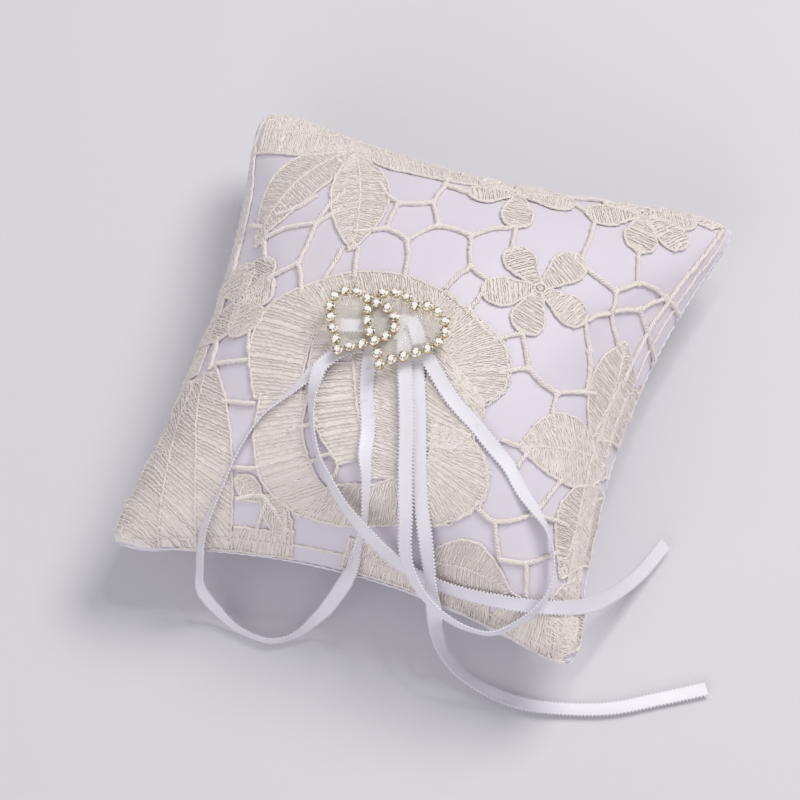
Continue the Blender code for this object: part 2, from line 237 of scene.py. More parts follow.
def travelled(points: Points) -> Points:
    """Length of a polyline up to each of its points."""
    return np.concatenate([[0.0], np.cumsum(np.linalg.norm(np.diff(points, axis=0), axis=1))])


def at_lengths(points: Points, places: Points) -> Points:
    """Points at the given lengths along a polyline."""
    return np.column_stack([np.interp(places, travelled(points), column) for column in points.T])


def evenly(points: Points, count: int) -> Points:
    """Points evenly spaced by length along a polyline, both ends included."""
    return at_lengths(points, np.linspace(0, travelled(points)[-1], count))


def length_of(points: Points) -> float:
    """Length of a polyline."""
    return float(np.linalg.norm(np.diff(points, axis=0), axis=1).sum())


# ---- node trees


class NodeGraph:
    """The nodes of one tree, added and joined by short calls."""

    prefix = ""

    def __init__(self, tree: NodeTree) -> None:
        """Works on the given tree."""
        self.tree = tree

    def add(self, kind: str, settings: dict | None = None, **inputs: Value) -> Node:
        """Adds a node.

        Args:
            kind: its type, without the graph's own prefix, or in full for one of another family.
            settings: properties to set on it.
            inputs: values or sockets by input name, with _ for a space.

        Returns:
            The node.
        """
        family = "" if kind.startswith(("FunctionNode", "ShaderNode")) else self.prefix
        node = self.tree.nodes.new(family + kind)
        for key, value in (settings or {}).items():
            setattr(node, key, value)
        for key, value in inputs.items():
            self.feed(node.inputs[key.replace("_", " ")], value)
        return node

    def feed(self, socket: NodeSocket, value: Value) -> None:
        """Fills an input.

        Args:
            socket: the input.
            value: its value, or the output socket that drives it.
        """
        if isinstance(value, NodeSocket):
            self.tree.links.new(value, socket)
        else:
            socket.default_value = value

    def math(self, operation: str, first: Value, second: Value = 0.0) -> NodeSocket:
        """Adds a Math node.

        Args:
            operation: what it works out.
            first: its first number.
            second: its second number.

        Returns:
            The result's socket.
        """
        node = self.tree.nodes.new("ShaderNodeMath")
        node.operation = operation
        self.feed(node.inputs[0], first)
        self.feed(node.inputs[1], second)
        return node.outputs[0]


class ShaderGraph(NodeGraph):
    """The nodes of one material or shader group."""

    prefix = "ShaderNode"

    def blend(self, share: Value, first: Value, second: Value) -> NodeSocket:
        """Mixes two colours.

        Args:
            share: the second one's share, from 0 to 1.
            first: a colour of three numbers, or a socket.
            second: a colour of three numbers, or a socket.

        Returns:
            The mixed colour's socket.
        """
        node = self.add("Mix", {"data_type": "RGBA"})
        self.feed(node.inputs[0], share)
        for socket, value in ((node.inputs[6], first), (node.inputs[7], second)):
            self.feed(socket, value if isinstance(value, NodeSocket) else (*value, 1.0))
        return node.outputs[2]

    def group(self, tree: NodeTree, **inputs: Value) -> bpy.types.bpy_prop_collection:
        """Adds a group node, and gives back its outputs."""
        return self.add("Group", {"node_tree": tree}, **inputs).outputs

    def scaled(self, value: Value, factor: float, offset: Value = 0.0) -> NodeSocket:
        """A value times a factor, plus an offset."""
        return self.math("ADD", self.math("MULTIPLY", value, factor), offset)


def new_group(name: str, inputs: dict, outputs: tuple) -> tuple[ShaderGraph, dict, dict]:
    """Makes an empty shader group whose sockets are all numbers.

    Args:
        name: its name.
        inputs: default values by name.
        outputs: names.

    Returns:
        Its graph, its input sockets and its output sockets, by name.
    """
    tree = bpy.data.node_groups.new(name, "ShaderNodeTree")
    for label, value in inputs.items():
        tree.interface.new_socket(label, in_out="INPUT", socket_type="NodeSocketFloat").default_value = value
    for label in outputs:
        tree.interface.new_socket(label, in_out="OUTPUT", socket_type="NodeSocketFloat")
    given = tree.nodes.new("NodeGroupInput").outputs
    return ShaderGraph(tree), given, tree.nodes.new("NodeGroupOutput").inputs


@functools.cache
def fibre_group() -> NodeTree:
    """Builds the fine fibres: a height, and a mask of slow colour change, on object coordinates.

    Returns:
        The group, built once; its sizes are in millimetres.
    """
    sizes = {"Fibre size": 0.2, "Patch size": 9.0}
    graph, given, result = new_group("fine fibres", sizes, ("Height", "Patches"))
    place = graph.add("TexCoord").outputs["Object"]
    fine_scale = graph.math("DIVIDE", 1.0 / MM, given["Fibre size"])
    slow_scale = graph.math("DIVIDE", 1.0 / MM, given["Patch size"])
    fine = graph.add("TexNoise", Vector=place, Scale=fine_scale, Detail=3.0, Roughness=0.65)
    slow = graph.add("TexNoise", Vector=place, Scale=slow_scale, Detail=2.0)
    graph.feed(result["Height"], fine.outputs["Fac"])
    graph.feed(result["Patches"], slow.outputs["Fac"])
    return graph.tree


@functools.cache
def weave_group() -> NodeTree:
    """Builds a fine satin weave: long floats in staggered rows, as a height, on object coordinates.

    Returns:
        The group, built once; its sizes are in millimetres.
    """
    graph, given, result = new_group("satin weave", {"Thread pitch": 0.16, "Float length": 0.9}, ("Height",))
    place = graph.add("SeparateXYZ", Vector=graph.add("TexCoord").outputs["Object"])
    across = graph.math("DIVIDE", graph.math("MULTIPLY", place.outputs[0], 1.0 / MM), given["Thread pitch"])
    along = graph.math("DIVIDE", graph.math("MULTIPLY", place.outputs[1], 1.0 / MM), given["Float length"])
    shifted = graph.scaled(graph.math("FLOOR", across), 0.4, along)
    rib = graph.math("SINE", graph.math("MULTIPLY", across, 2 * math.pi))
    graph.feed(result["Height"], graph.scaled(rib, 0.5, graph.math("PINGPONG", shifted, 0.5)))
    return graph.tree


def new_material(name: str) -> tuple[Material, ShaderGraph, bpy.types.bpy_prop_collection]:
    """Makes a plain material.

    Args:
        name: its name.

    Returns:
        The material, its graph and its shader's inputs.
    """
    made = bpy.data.materials.new(name)
    made.use_nodes = True
    return made, ShaderGraph(made.node_tree), made.node_tree.nodes["Principled BSDF"].inputs


@dataclass(frozen=True)
class Cloth:
    """A cloth or thread finish: a colour that varies a little, a sheen and fine fibres."""

    name: str
    light: tuple[float, float, float]
    deep: tuple[float, float, float]
    roughness: float
    sheen: float
    bump: float
    fibre: float = 0.2
    patch: float = 9.0
    anisotropic: float = 0.0
    woven: bool = False
    ribs: float = 0.0

    def material(self) -> Material:
        """Builds the material.

        Returns:
            The material.
        """
        made, graph, inputs = new_material(self.name)
        fibres = graph.group(fibre_group(), Fibre_size=self.fibre, Patch_size=self.patch)
        height = fibres["Height"]
        if self.woven:
            height = graph.scaled(height, 0.5, graph.group(weave_group())["Height"])
        if self.ribs:
            strip = graph.add("UVMap", {"uv_map": "strip"})
            along = graph.add("SeparateXYZ", Vector=strip.outputs["UV"]).outputs[0]
            turns = graph.math("MULTIPLY", along, 2 * math.pi / (self.ribs * MM))
            height = graph.scaled(height, 0.7, graph.math("SINE", turns))
        graph.feed(inputs["Base Color"], graph.blend(fibres["Patches"], self.deep, self.light))
        graph.feed(inputs["Roughness"], graph.scaled(fibres["Height"], 0.12, self.roughness - 0.06))
        inputs["Sheen Weight"].default_value = self.sheen
        inputs["Sheen Roughness"].default_value = 0.45
        inputs["Anisotropic"].default_value = self.anisotropic
        relief = graph.add("Bump", Strength=1.0, Distance=self.bump * MM, Height=height)
        graph.feed(inputs["Normal"], relief.outputs["Normal"])
        return made


@dataclass(frozen=True)
class Metal:
    """Plated metal with faint scuffs."""

    name: str
    bright: tuple[float, float, float]
    dull: tuple[float, float, float]
    roughness: float

    def material(self) -> Material:
        """Builds the material.

        Returns:
            The material.
        """
        made, graph, inputs = new_material(self.name)
        scuffs = graph.group(fibre_group(), Fibre_size=0.35, Patch_size=2.5)
        graph.feed(inputs["Base Color"], graph.blend(scuffs["Patches"], self.dull, self.bright))
        graph.feed(inputs["Roughness"], graph.scaled(scuffs["Height"], 0.25, self.roughness - 0.1))
        inputs["Metallic"].default_value = 1.0
        relief = graph.add("Bump", Strength=0.4, Distance=0.02 * MM, Height=scuffs["Height"])
        graph.feed(inputs["Normal"], relief.outputs["Normal"])
        return made


@dataclass(frozen=True)
class Clear:
    """A thin clear film: see-through, with a rippled gloss."""

    name: str
    tint: tuple[float, float, float]
    roughness: float
    refraction: float
    ripple: float
    alpha: float

    def material(self) -> Material:
        """Builds the material.

        Returns:
            The material.
        """
        made, graph, inputs = new_material(self.name)
        ripples = graph.group(fibre_group(), Fibre_size=1.1, Patch_size=1.7)
        pale = tuple(min(1.0, c * 1.03) for c in self.tint)
        graph.feed(inputs["Base Color"], graph.blend(ripples["Patches"], self.tint, pale))
        inputs["Roughness"].default_value = self.roughness
        inputs["IOR"].default_value = self.refraction
        inputs["Alpha"].default_value = self.alpha
        relief = graph.add("Bump", Strength=1.0, Distance=self.ripple * MM, Height=ripples["Height"])
        graph.feed(inputs["Normal"], relief.outputs["Normal"])
        return made


@dataclass(frozen=True)
class CutGlass:
    """Foil-backed cut glass with painted reflections: each facet's colour is a painted glint, a painted
    gold-tinted reflection or a painted deep-brown reflection.
    """

    name: str
    bright: tuple[float, float, float]
    painted_gold_reflection: tuple[float, float, float]
    painted_dark_reflection: tuple[float, float, float]
    roughness: float
    refraction: float
    painted_glint_share: float = 0.4
    painted_dark_reflection_share: float = 0.3

    def material(self) -> Material:
        """Builds the material, which reads each facet's own number, from 0 to 1, to choose the facet's
        painted reflection colour.

        Returns:
            The material.
        """
        made, graph, inputs = new_material(self.name)
        stored = graph.add("Attribute", {"attribute_name": "facet", "attribute_type": "GEOMETRY"})
        facet = stored.outputs["Fac"]
        # Painted reflections in the base colour: low facet numbers get the painted glint, middle ones the
        # painted gold-tinted reflection, high ones the painted deep-brown reflection.
        painted_gold_reflection = graph.math("GREATER_THAN", facet, self.painted_glint_share)
        painted_dark_reflection = graph.math("GREATER_THAN", facet, 1 - self.painted_dark_reflection_share)
        colour = graph.blend(painted_dark_reflection, graph.blend(painted_gold_reflection, self.bright, self.painted_gold_reflection), self.painted_dark_reflection)
        graph.feed(inputs["Base Color"], colour)
        inputs["Roughness"].default_value = self.roughness
        inputs["IOR"].default_value = self.refraction
        return made


class Finish(Enum):
    """Every finish of the pillow."""

    SATIN = Cloth(
        "white satin", (0.775, 0.72, 0.79), (0.73, 0.68, 0.755), 0.45, 0.2, 0.012,
        fibre=0.5, patch=22.0, anisotropic=0.5, woven=True,
    )
    LACE = Cloth(
        "ivory cotton lace", (0.93, 0.865, 0.82), (0.88, 0.815, 0.775), 0.9, 0.3, 0.05, fibre=0.3, patch=7.0,
    )
    LACE_GROUND = Cloth(
        "ivory lace ground", (0.92, 0.855, 0.81), (0.87, 0.805, 0.765), 0.95, 0.3, 0.16,
        fibre=0.45, patch=5.0,
    )
    RIBBON = Cloth(
        "white satin ribbon", (0.89, 0.86, 0.915), (0.84, 0.81, 0.87), 0.3, 0.2, 0.012,
        fibre=0.3, patch=12.0, anisotropic=0.6, ribs=0.28,
    )
    THREAD = Cloth(
        "white sewing thread", (0.86, 0.85, 0.90), (0.78, 0.77, 0.84), 0.6, 0.3, 0.02, fibre=0.12,
    )
    FILLING = Cloth("polyester fibre", (0.88, 0.88, 0.9), (0.8, 0.8, 0.82), 0.9, 0.5, 0.4, fibre=0.6)
    GOLD = Metal("pale gold plate", (0.86, 0.72, 0.47), (0.68, 0.53, 0.30), 0.22)
    # Painted reflections: a near-white painted glint, a gold-tinted painted reflection and a deep-brown
    # painted reflection, chosen per facet.
    STONE = CutGlass("cut glass", (0.96, 0.94, 0.90), (0.80, 0.72, 0.54), (0.16, 0.13, 0.09), 0.06, 1.9)
    FLOOR = Cloth(
        "pale table", (0.715, 0.70, 0.73), (0.70, 0.685, 0.715), 0.75, 0.0, 0.01, fibre=0.8, patch=90.0,
    )
    GLUE = Clear("clear glue", (0.97, 0.95, 0.91), roughness=0.05, refraction=1.5, ripple=0.25, alpha=0.24)

    def material(self) -> Material:
        """The finish's material, built once."""
        return bpy.data.materials.get(self.value.name) or self.value.material()


# ---- geometry nodes


class GeometryGraph(NodeGraph):
    """One geometry node tree, built by short calls, and run on a guide object."""

    prefix = "GeometryNode"
    kinds = {
        float: "NodeSocketFloat", int: "NodeSocketInt",
        Object: "NodeSocketObject", Material: "NodeSocketMaterial",
    }

    def __init__(self, name: str, inputs: dict) -> None:
        """Makes a tree with a geometry input, the named inputs and a geometry output.

        Args:
            name: the tree's name.
            inputs: by name, a default number, or the type of what has no default.
        """
        super().__init__(bpy.data.node_groups.new(name, "GeometryNodeTree"))
        self.tree.interface.new_socket("Geometry", in_out="INPUT", socket_type="NodeSocketGeometry")
        self.identifiers = {}
        for label, value in inputs.items():
            kind = value if isinstance(value, type) else type(value)
            socket = self.tree.interface.new_socket(label, in_out="INPUT", socket_type=self.kinds[kind])
            if kind is not value:
                socket.default_value = value
            self.identifiers[label] = socket.identifier
        self.tree.interface.new_socket("Geometry", in_out="OUTPUT", socket_type="NodeSocketGeometry")
        self.given = self.tree.nodes.new("NodeGroupInput").outputs
        self.result = self.tree.nodes.new("NodeGroupOutput").inputs[0]

    def vector(self, operation: str, first: Value, second: Value = None, scale: Value = None) -> NodeSocket:
        """Adds a Vector Math node.

        Args:
            operation: what it works out.
            first: its first vector.
            second: its second vector, if the operation takes one.
            scale: its scale, if the operation takes one.

        Returns:
            The result's socket.
        """
        node = self.tree.nodes.new("ShaderNodeVectorMath")
        node.operation = operation
        self.feed(node.inputs[0], first)
        if second is not None:
            self.feed(node.inputs[1], second)
        if scale is not None:
            self.feed(node.inputs["Scale"], scale)
        return node.outputs[0]

    def wander(self, frequency: float) -> NodeSocket:
        """Adds a random shift, of up to the tree's own unevenness.

        Args:
            frequency: how quickly it changes, per millimetre.

        Returns:
            The shift's socket.
        """
        seed = self.given["Seed"]
        noise = self.add(
            "ShaderNodeTexNoise", {"noise_dimensions": "4D"}, Scale=frequency / MM, Detail=1.0, W=seed
        )
        centred = self.vector("SUBTRACT", noise.outputs["Color"], (0.5, 0.5, 0.5))
        return self.vector("SCALE", centred, scale=self.math("MULTIPLY", self.given["Unevenness"], 2.0))

    def tube(self, curve: Value, radius: Value, **scale: Value) -> NodeSocket:
        """Adds a capped round tube along a curve.

        Args:
            curve: the curve.
            radius: the tube's radius.
            scale: share of the radius at each point, if it changes.

        Returns:
            The tube's socket.
        """
        circle = self.add("CurvePrimitiveCircle", Resolution=self.given["Sides"], Radius=radius)
        tube = self.add(
            "CurveToMesh", Curve=curve, Profile_Curve=circle.outputs[0], Fill_Caps=True, **scale
        )
        return tube.outputs[0]

    def close(self, geometry: NodeSocket, material: NodeSocket) -> None:
        """Ends the tree: instances made real, and a material set.

        Args:
            geometry: what has been built.
            material: its material.
        """
        real = self.add("RealizeInstances", Geometry=geometry)
        dressed = self.add("SetMaterial", Geometry=real.outputs[0], Material=material)
        self.feed(self.result, dressed.outputs[0])

    def run(self, guide: Object, name: str, **values) -> Object:
        """Runs the tree on a guide, which it uses up.

        Args:
            guide: the object that the tree starts from.
            name: the name of the result.
            values: input values by name, with _ for a space.

        Returns:
            A plain mesh object.
        """
        modifier = guide.modifiers.new(self.tree.name, "NODES")
        modifier.node_group = self.tree
        for key, value in values.items():
            modifier[self.identifiers[key.replace("_", " ")]] = value
        guide.update_tag()
        bpy.context.view_layer.update()
        return plain_copy(guide, name)


def thread_tree() -> GeometryGraph:
    """Lays threads along edges: each run of edges becomes a thin round thread, slightly uneven.

    Returns:
        The tree.
    """
    graph = GeometryGraph(
        "laid threads",
        {"Thread radius": 0.22 * MM, "Sides": 5, "Unevenness": 0.06 * MM, "Seed": 3, "Finish": Material},
    )
    given = graph.given
    moved = graph.add("SetPosition", Geometry=given["Geometry"], Offset=graph.wander(1.3))
    curve = graph.add("MeshToCurve", Mesh=moved.outputs[0])
    share = graph.add("InputNamedAttribute", {"data_type": "FLOAT"}, Name="thickness")
    thickness = share.outputs["Attribute"]
    sized = graph.add("SetCurveRadius", Curve=curve.outputs[0], Radius=thickness)
    tube = graph.tube(sized.outputs[0], given["Thread radius"], Scale=thickness)
    rounded = graph.add("SetShadeSmooth", Geometry=tube)
    graph.close(rounded.outputs[0], given["Finish"])
    return graph


def twist_tree(strands: int) -> GeometryGraph:
    """Lays twisted cord along edges, of strands that wind round each other.

    Args:
        strands: how many the cord has.

    Returns:
        The tree.
    """
    graph = GeometryGraph(
        f"twisted cord of {strands}",
        {
            "Strand radius": 0.33 * MM,
            "Winding radius": 0.27 * MM,
            "Pitch": 2.4 * MM,
            "Step": 0.32 * MM,
            "Sides": 6,
            "Unevenness": 0.12 * MM,
            "Seed": 5,
            "Finish": Material,
        },
    )
    given = graph.given
    curve = graph.add("MeshToCurve", Mesh=given["Geometry"])
    even = graph.add(
        "ResampleCurve", {"mode": "LENGTH"}, Curve=curve.outputs[0], Length=given["Step"]
    )
    along = graph.add("SplineParameter").outputs["Length"]
    tangent = graph.add("InputTangent").outputs[0]
    side = graph.vector("NORMALIZE", graph.vector("CROSS_PRODUCT", tangent, (0.0, 0.0, 1.0)))
    upright = graph.vector("CROSS_PRODUCT", side, tangent)
    turn = graph.math("MULTIPLY", graph.math("DIVIDE", along, given["Pitch"]), 2 * math.pi)
    wobble = graph.wander(0.9)
    joined = graph.add("JoinGeometry")
    for k in range(strands):
        angle = graph.math("ADD", turn, 2 * math.pi * k / strands)
        out = graph.math("MULTIPLY", graph.math("COSINE", angle), given["Winding radius"])
        up = graph.math("MULTIPLY", graph.math("SINE", angle), given["Winding radius"])
        outward, upward = graph.vector("SCALE", side, scale=out), graph.vector("SCALE", upright, scale=up)
        offset = graph.vector("ADD", graph.vector("ADD", outward, upward), wobble)
        strand = graph.add("SetPosition", Geometry=even.outputs[0], Offset=offset)
        graph.feed(joined.inputs[0], graph.tube(strand.outputs[0], given["Strand radius"]))
    rounded = graph.add("SetShadeSmooth", Geometry=joined.outputs[0])
    graph.close(rounded.outputs[0], given["Finish"])
    return graph


def bead_tree() -> GeometryGraph:
    """Sets small rounded loops at even steps along edges, as picots on a ribbon's edge.

    Returns:
        The tree.
    """
    graph = GeometryGraph(
        "picots",
        {"Step": 0.62 * MM, "Bead radius": 0.17 * MM, "Finish": Material},
    )
    given = graph.given
    curve = graph.add("MeshToCurve", Mesh=given["Geometry"])
    points = graph.add("CurveToPoints", {"mode": "LENGTH"}, Curve=curve.outputs[0])
    graph.feed(points.inputs["Length"], given["Step"])
    bead = graph.add("MeshIcoSphere", Radius=given["Bead radius"], Subdivisions=1)
    rounded = graph.add("SetShadeSmooth", Geometry=bead.outputs["Mesh"])
    placed = graph.add(
        "InstanceOnPoints",
        Points=points.outputs["Points"],
        Instance=rounded.outputs[0],
        Rotation=points.outputs["Rotation"],
    )
    graph.close(placed.outputs[0], given["Finish"])
    return graph


def fuzz_tree() -> GeometryGraph:
    """Scatters short loose fibres over a mesh, leaning at random, in place of the mesh.

    Returns:
        The tree.
    """
    graph = GeometryGraph(
        "loose fibres",
        {
            "Density": 4e6,
            "Fibre length": 0.5 * MM,
            "Fibre radius": 0.03 * MM,
            "Lean": 1.0,
            "Seed": 4,
            "Finish": Material,
        },
    )
    given = graph.given
    spots = graph.add(
        "DistributePointsOnFaces",
        Mesh=given["Geometry"],
        Density=given["Density"],
        Seed=given["Seed"],
    )
    leaning = graph.add("FunctionNodeRandomValue", {"data_type": "FLOAT_VECTOR"}, Seed=given["Seed"])
    leaning.inputs[0].default_value = (-1.0, -1.0, -1.0)
    leaning.inputs[1].default_value = (1.0, 1.0, 1.0)
    lean = graph.vector("SCALE", leaning.outputs[0], scale=given["Lean"])
    direction = graph.vector("ADD", spots.outputs["Normal"], lean)
    turned = graph.add("FunctionNodeAlignRotationToVector", {"axis": "Z"}, Vector=direction)
    size = graph.add("FunctionNodeRandomValue", {"data_type": "FLOAT"}, Seed=given["Seed"])
    size.inputs[2].default_value = 0.4
    size.inputs[3].default_value = 1.2
    hair = graph.add(
        "MeshCone",
        {"fill_type": "NONE"},
        Vertices=3,
        Radius_Top=0.0,
        Radius_Bottom=given["Fibre radius"],
        Depth=given["Fibre length"],
    )
    placed = graph.add(
        "InstanceOnPoints",
        Points=spots.outputs["Points"],
        Instance=hair.outputs["Mesh"],
        Rotation=turned.outputs[0],
        Scale=size.outputs[1],
    )
    graph.close(placed.outputs[0], given["Finish"])
    return graph


def copies_tree(turned: bool) -> GeometryGraph:
    """Sets a copy of one mesh on every point, upright along the point's own direction.

    Args:
        turned: whether each copy is also turned about that direction at random.

    Returns:
        The tree.
    """
    graph = GeometryGraph(
        "settings on a heart" if turned else "claws on a heart",
        {"Copied": Object, "Seed": 11, "Finish": Material},
    )
    given = graph.given
    source = graph.add("ObjectInfo", Object=given["Copied"])
    upright = graph.add("InputNamedAttribute", {"data_type": "FLOAT_VECTOR"}, Name="upright")
    direction = upright.outputs["Attribute"]
    rotation = graph.add("FunctionNodeAlignRotationToVector", {"axis": "Z"}, Vector=direction).outputs[0]
    if turned:
        spin = graph.add("FunctionNodeRandomValue", {"data_type": "FLOAT"}, Seed=given["Seed"])
        spin.inputs[3].default_value = 2 * math.pi
        about = graph.add("FunctionNodeAxisAngleToRotation", Axis=(0.0, 0.0, 1.0), Angle=spin.outputs[1])
        turner = graph.add("FunctionNodeRotateRotation", {"rotation_space": "LOCAL"}, Rotation=rotation)
        graph.feed(turner.inputs[1], about.outputs[0])
        rotation = turner.outputs[0]
    placed = graph.add(
        "InstanceOnPoints",
        Points=given["Geometry"],
        Instance=source.outputs["Geometry"],
        Rotation=rotation,
    )
    graph.close(placed.outputs[0], given["Finish"])
    return graph


# ---- the pillow's form


@dataclass
class PillowForm:
    """The stuffed case: its plan, its crowns, and the shape it takes when its cloth is filled."""

    front_width: float = 98.0
    back_width: float = 107.0
    depth: float = 108.0
    back_shift: float = 3.8
    front_skew: float = 2.0
    back_skew: float = 3.1
    pulls: dict = field(default_factory=lambda: {"front": 8.6, "back": 6.0, "left": 6.0, "right": 8.8})
    corner_cut: float = 2.6
    corner_power: int = 12
    top_crown: float = 28.0
    bottom_crown: float = 20.0
    seam_height: float = 17.0
    rim_rise: float = 0.55
    steps: int = 64
    satin_depth: float = 0.9
    plan_outset: float = 0.5
    floor_gap: float = 0.15
    top: Points | None = None
    bottom: Points | None = None
    top_normals: Points | None = None

    @property
    def mean_half(self) -> float:
        """Half of the plan's mean side, in millimetres."""
        return (self.front_width + self.back_width + 2 * self.depth) / 8

    def corners(self) -> Points:
        """Finds the plan's corners before they are centred.

        Returns:
            Front left, front right, back left and back right, in millimetres.
        """
        return np.array(
            [
                (0.0, 0.0),
                (self.front_width, self.front_skew),
                (-self.back_shift, self.depth),
                (self.back_width - self.back_shift, self.depth + self.back_skew),
            ]
        )

    def uncentred(self, u: Points, v: Points, outset: float) -> Points:
        """Finds plan points before the outline is centred.

        Args:
            u: place across, from -1 to 1.
            v: place along, from -1 to 1.
            outset: how far the outline is moved out, in millimetres.

        Returns:
            Rows of x, y in millimetres.
        """
        half = self.mean_half
        pulls = self.pulls
        side_pull = (pulls["right"] * (1 + u) + pulls["left"] * (1 - u)) / 2 / half
        end_pull = (pulls["back"] * (1 + v) + pulls["front"] * (1 - v)) / 2 / half
        cut = 1 - self.corner_cut / half * (u * v) ** self.corner_power
        across = u * (1 - side_pull * (1 - v * v)) * cut
        along = v * (1 - end_pull * (1 - u * u)) * cut
        shares = (
            (1 - across) * (1 - along),
            (1 + across) * (1 - along),
            (1 - across) * (1 + along),
            (1 + across) * (1 + along),
        )
        corners = self.corners()
        middle = corners.mean(axis=0)
        flat = sum(np.multiply.outer(share / 4, corner - middle) for share, corner in zip(shares, corners))
        return flat * (1 + outset / half)

    def centre(self) -> Points:
        """Finds the middle of the outline's box.

        Returns:
            Its x and y, in millimetres.
        """
        edge = np.linspace(-1, 1, 201)
        ones = np.ones_like(edge)
        sides = ((edge, ones), (edge, -ones), (ones, edge), (-ones, edge))
        outline = np.concatenate([self.uncentred(u, v, 0.0) for u, v in sides])
        return (outline.min(axis=0) + outline.max(axis=0)) / 2

    def plan(self, u: Points, v: Points, outset: float = 0.0) -> Points:
        """Plan point at u, v, in millimetres."""
        return self.uncentred(np.asarray(u, float), np.asarray(v, float), outset) - self.centre()

    def grid(self) -> tuple[Points, Points]:
        """u and v of the panels' grid, closer together near the seam."""
        steps = np.sin(np.linspace(-math.pi / 2, math.pi / 2, self.steps + 1))
        return np.meshgrid(steps, steps, indexing="ij")

    def bulge(self) -> Points:
        """1 in the middle of the panels' grid and 0 at the seam."""
        u, v = self.grid()
        return np.sqrt(np.clip((1 - u * u) * (1 - v * v), 0, 1))

    def rest_surface(self, upper: bool, outset: float) -> Points:
        """Finds one panel's surface before its cloth is filled.

        Args:
            upper: whether it is the top panel.
            outset: how far the crown is moved out, in millimetres.

        Returns:
            A grid of points, in metres.
        """
        full = self.bulge()
        if upper:
            height = self.seam_height + self.rim_rise + (self.top_crown - self.rim_rise + outset) * full
        else:
            height = self.seam_height - self.rim_rise - (self.bottom_crown + outset) * full
            height = np.maximum(height, self.floor_gap)
        return np.concatenate([self.plan(*self.grid(), self.plan_outset), height[..., None]], axis=-1) * MM

    def rest_point(self, u: float, v: float) -> Vector:
        """Finds one place on the smooth top surface, the lace's outside.

        Args:
            u: place across, from -1 to 1.
            v: place along, from -1 to 1.

        Returns:
            The place, in metres.
        """
        full = math.sqrt((1 - u * u) * (1 - v * v))
        height = self.seam_height + self.rim_rise + (self.top_crown - self.rim_rise) * full
        return Vector((*self.plan(u, v), height)) * MM

    def at(self, u: Points, v: Points, height: Points | float) -> Points:
        """Points above the filled top panel.

        Args:
            u: place across, from -1 to 1.
            v: place along, from -1 to 1.
            height: distance above the satin, in millimetres.

        Returns:
            Points in metres.
        """
        u = np.clip(np.asarray(u, float), -0.9995, 0.9995)
        v = np.clip(np.asarray(v, float), -0.9995, 0.9995)
        height = np.asarray(height, float)
        place = self.sample(self.top, u, v)
        normal = self.sample(self.top_normals, u, v)
        normal /= np.linalg.norm(normal, axis=-1, keepdims=True)
        return place + normal * (height[..., None] * MM)

    def sample(self, surface: Points, u: Points, v: Points) -> Points:
        """Reads a grid of values between its points.

        Args:
            surface: the grid.
            u: places across, from -1 to 1.
            v: places along, from -1 to 1.

        Returns:
            The values there.
        """
        rows = (np.arcsin(u) / math.pi + 0.5) * self.steps
        columns = (np.arcsin(v) / math.pi + 0.5) * self.steps
        i = np.clip(rows.astype(int), 0, self.steps - 1)
        j = np.clip(columns.astype(int), 0, self.steps - 1)
        a = (rows - i)[..., None]
        b = (columns - j)[..., None]
        return (
            surface[i, j] * (1 - a) * (1 - b)
            + surface[i + 1, j] * a * (1 - b)
            + surface[i, j + 1] * (1 - a) * b
            + surface[i + 1, j + 1] * a * b
        )

    def settle(self) -> None:
        """Keeps the top panel's normals once its shape is final."""
        along_u = np.gradient(self.top, axis=0)
        along_v = np.gradient(self.top, axis=1)
        normals = np.cross(along_u, along_v)
        self.top_normals = normals / np.linalg.norm(normals, axis=-1, keepdims=True)

    def to_uv(self, places: Points) -> tuple[Points, Points]:
        """Finds u, v of plan points.

        Args:
            places: rows of x, y in millimetres.

        Returns:
            u and v of each.
        """
        places = np.asarray(places, float)
        u = places[:, 0] / self.mean_half
        v = places[:, 1] / self.mean_half
        nudge, outset = 1e-4, self.plan_outset
        for _ in range(25):
            u, v = np.clip(u, -1.0, 1.0), np.clip(v, -1.0, 1.0)
            error = self.plan(u, v, outset) - places
            slope_u = (self.plan(u + nudge, v, outset) - self.plan(u - nudge, v, outset)) / (2 * nudge)
            slope_v = (self.plan(u, v + nudge, outset) - self.plan(u, v - nudge, outset)) / (2 * nudge)
            det = slope_u[:, 0] * slope_v[:, 1] - slope_u[:, 1] * slope_v[:, 0]
            u = u - 0.8 * (error[:, 0] * slope_v[:, 1] - error[:, 1] * slope_v[:, 0]) / det
            v = v - 0.8 * (slope_u[:, 0] * error[:, 1] - slope_u[:, 1] * error[:, 0]) / det
        return np.clip(u, -1, 1), np.clip(v, -1, 1)

    def over(self, places: Points, height: Points | float) -> Points:
        """Points above the filled top panel, from rows of x, y in millimetres."""
        u, v = self.to_uv(places)
        return self.at(u, v, height)


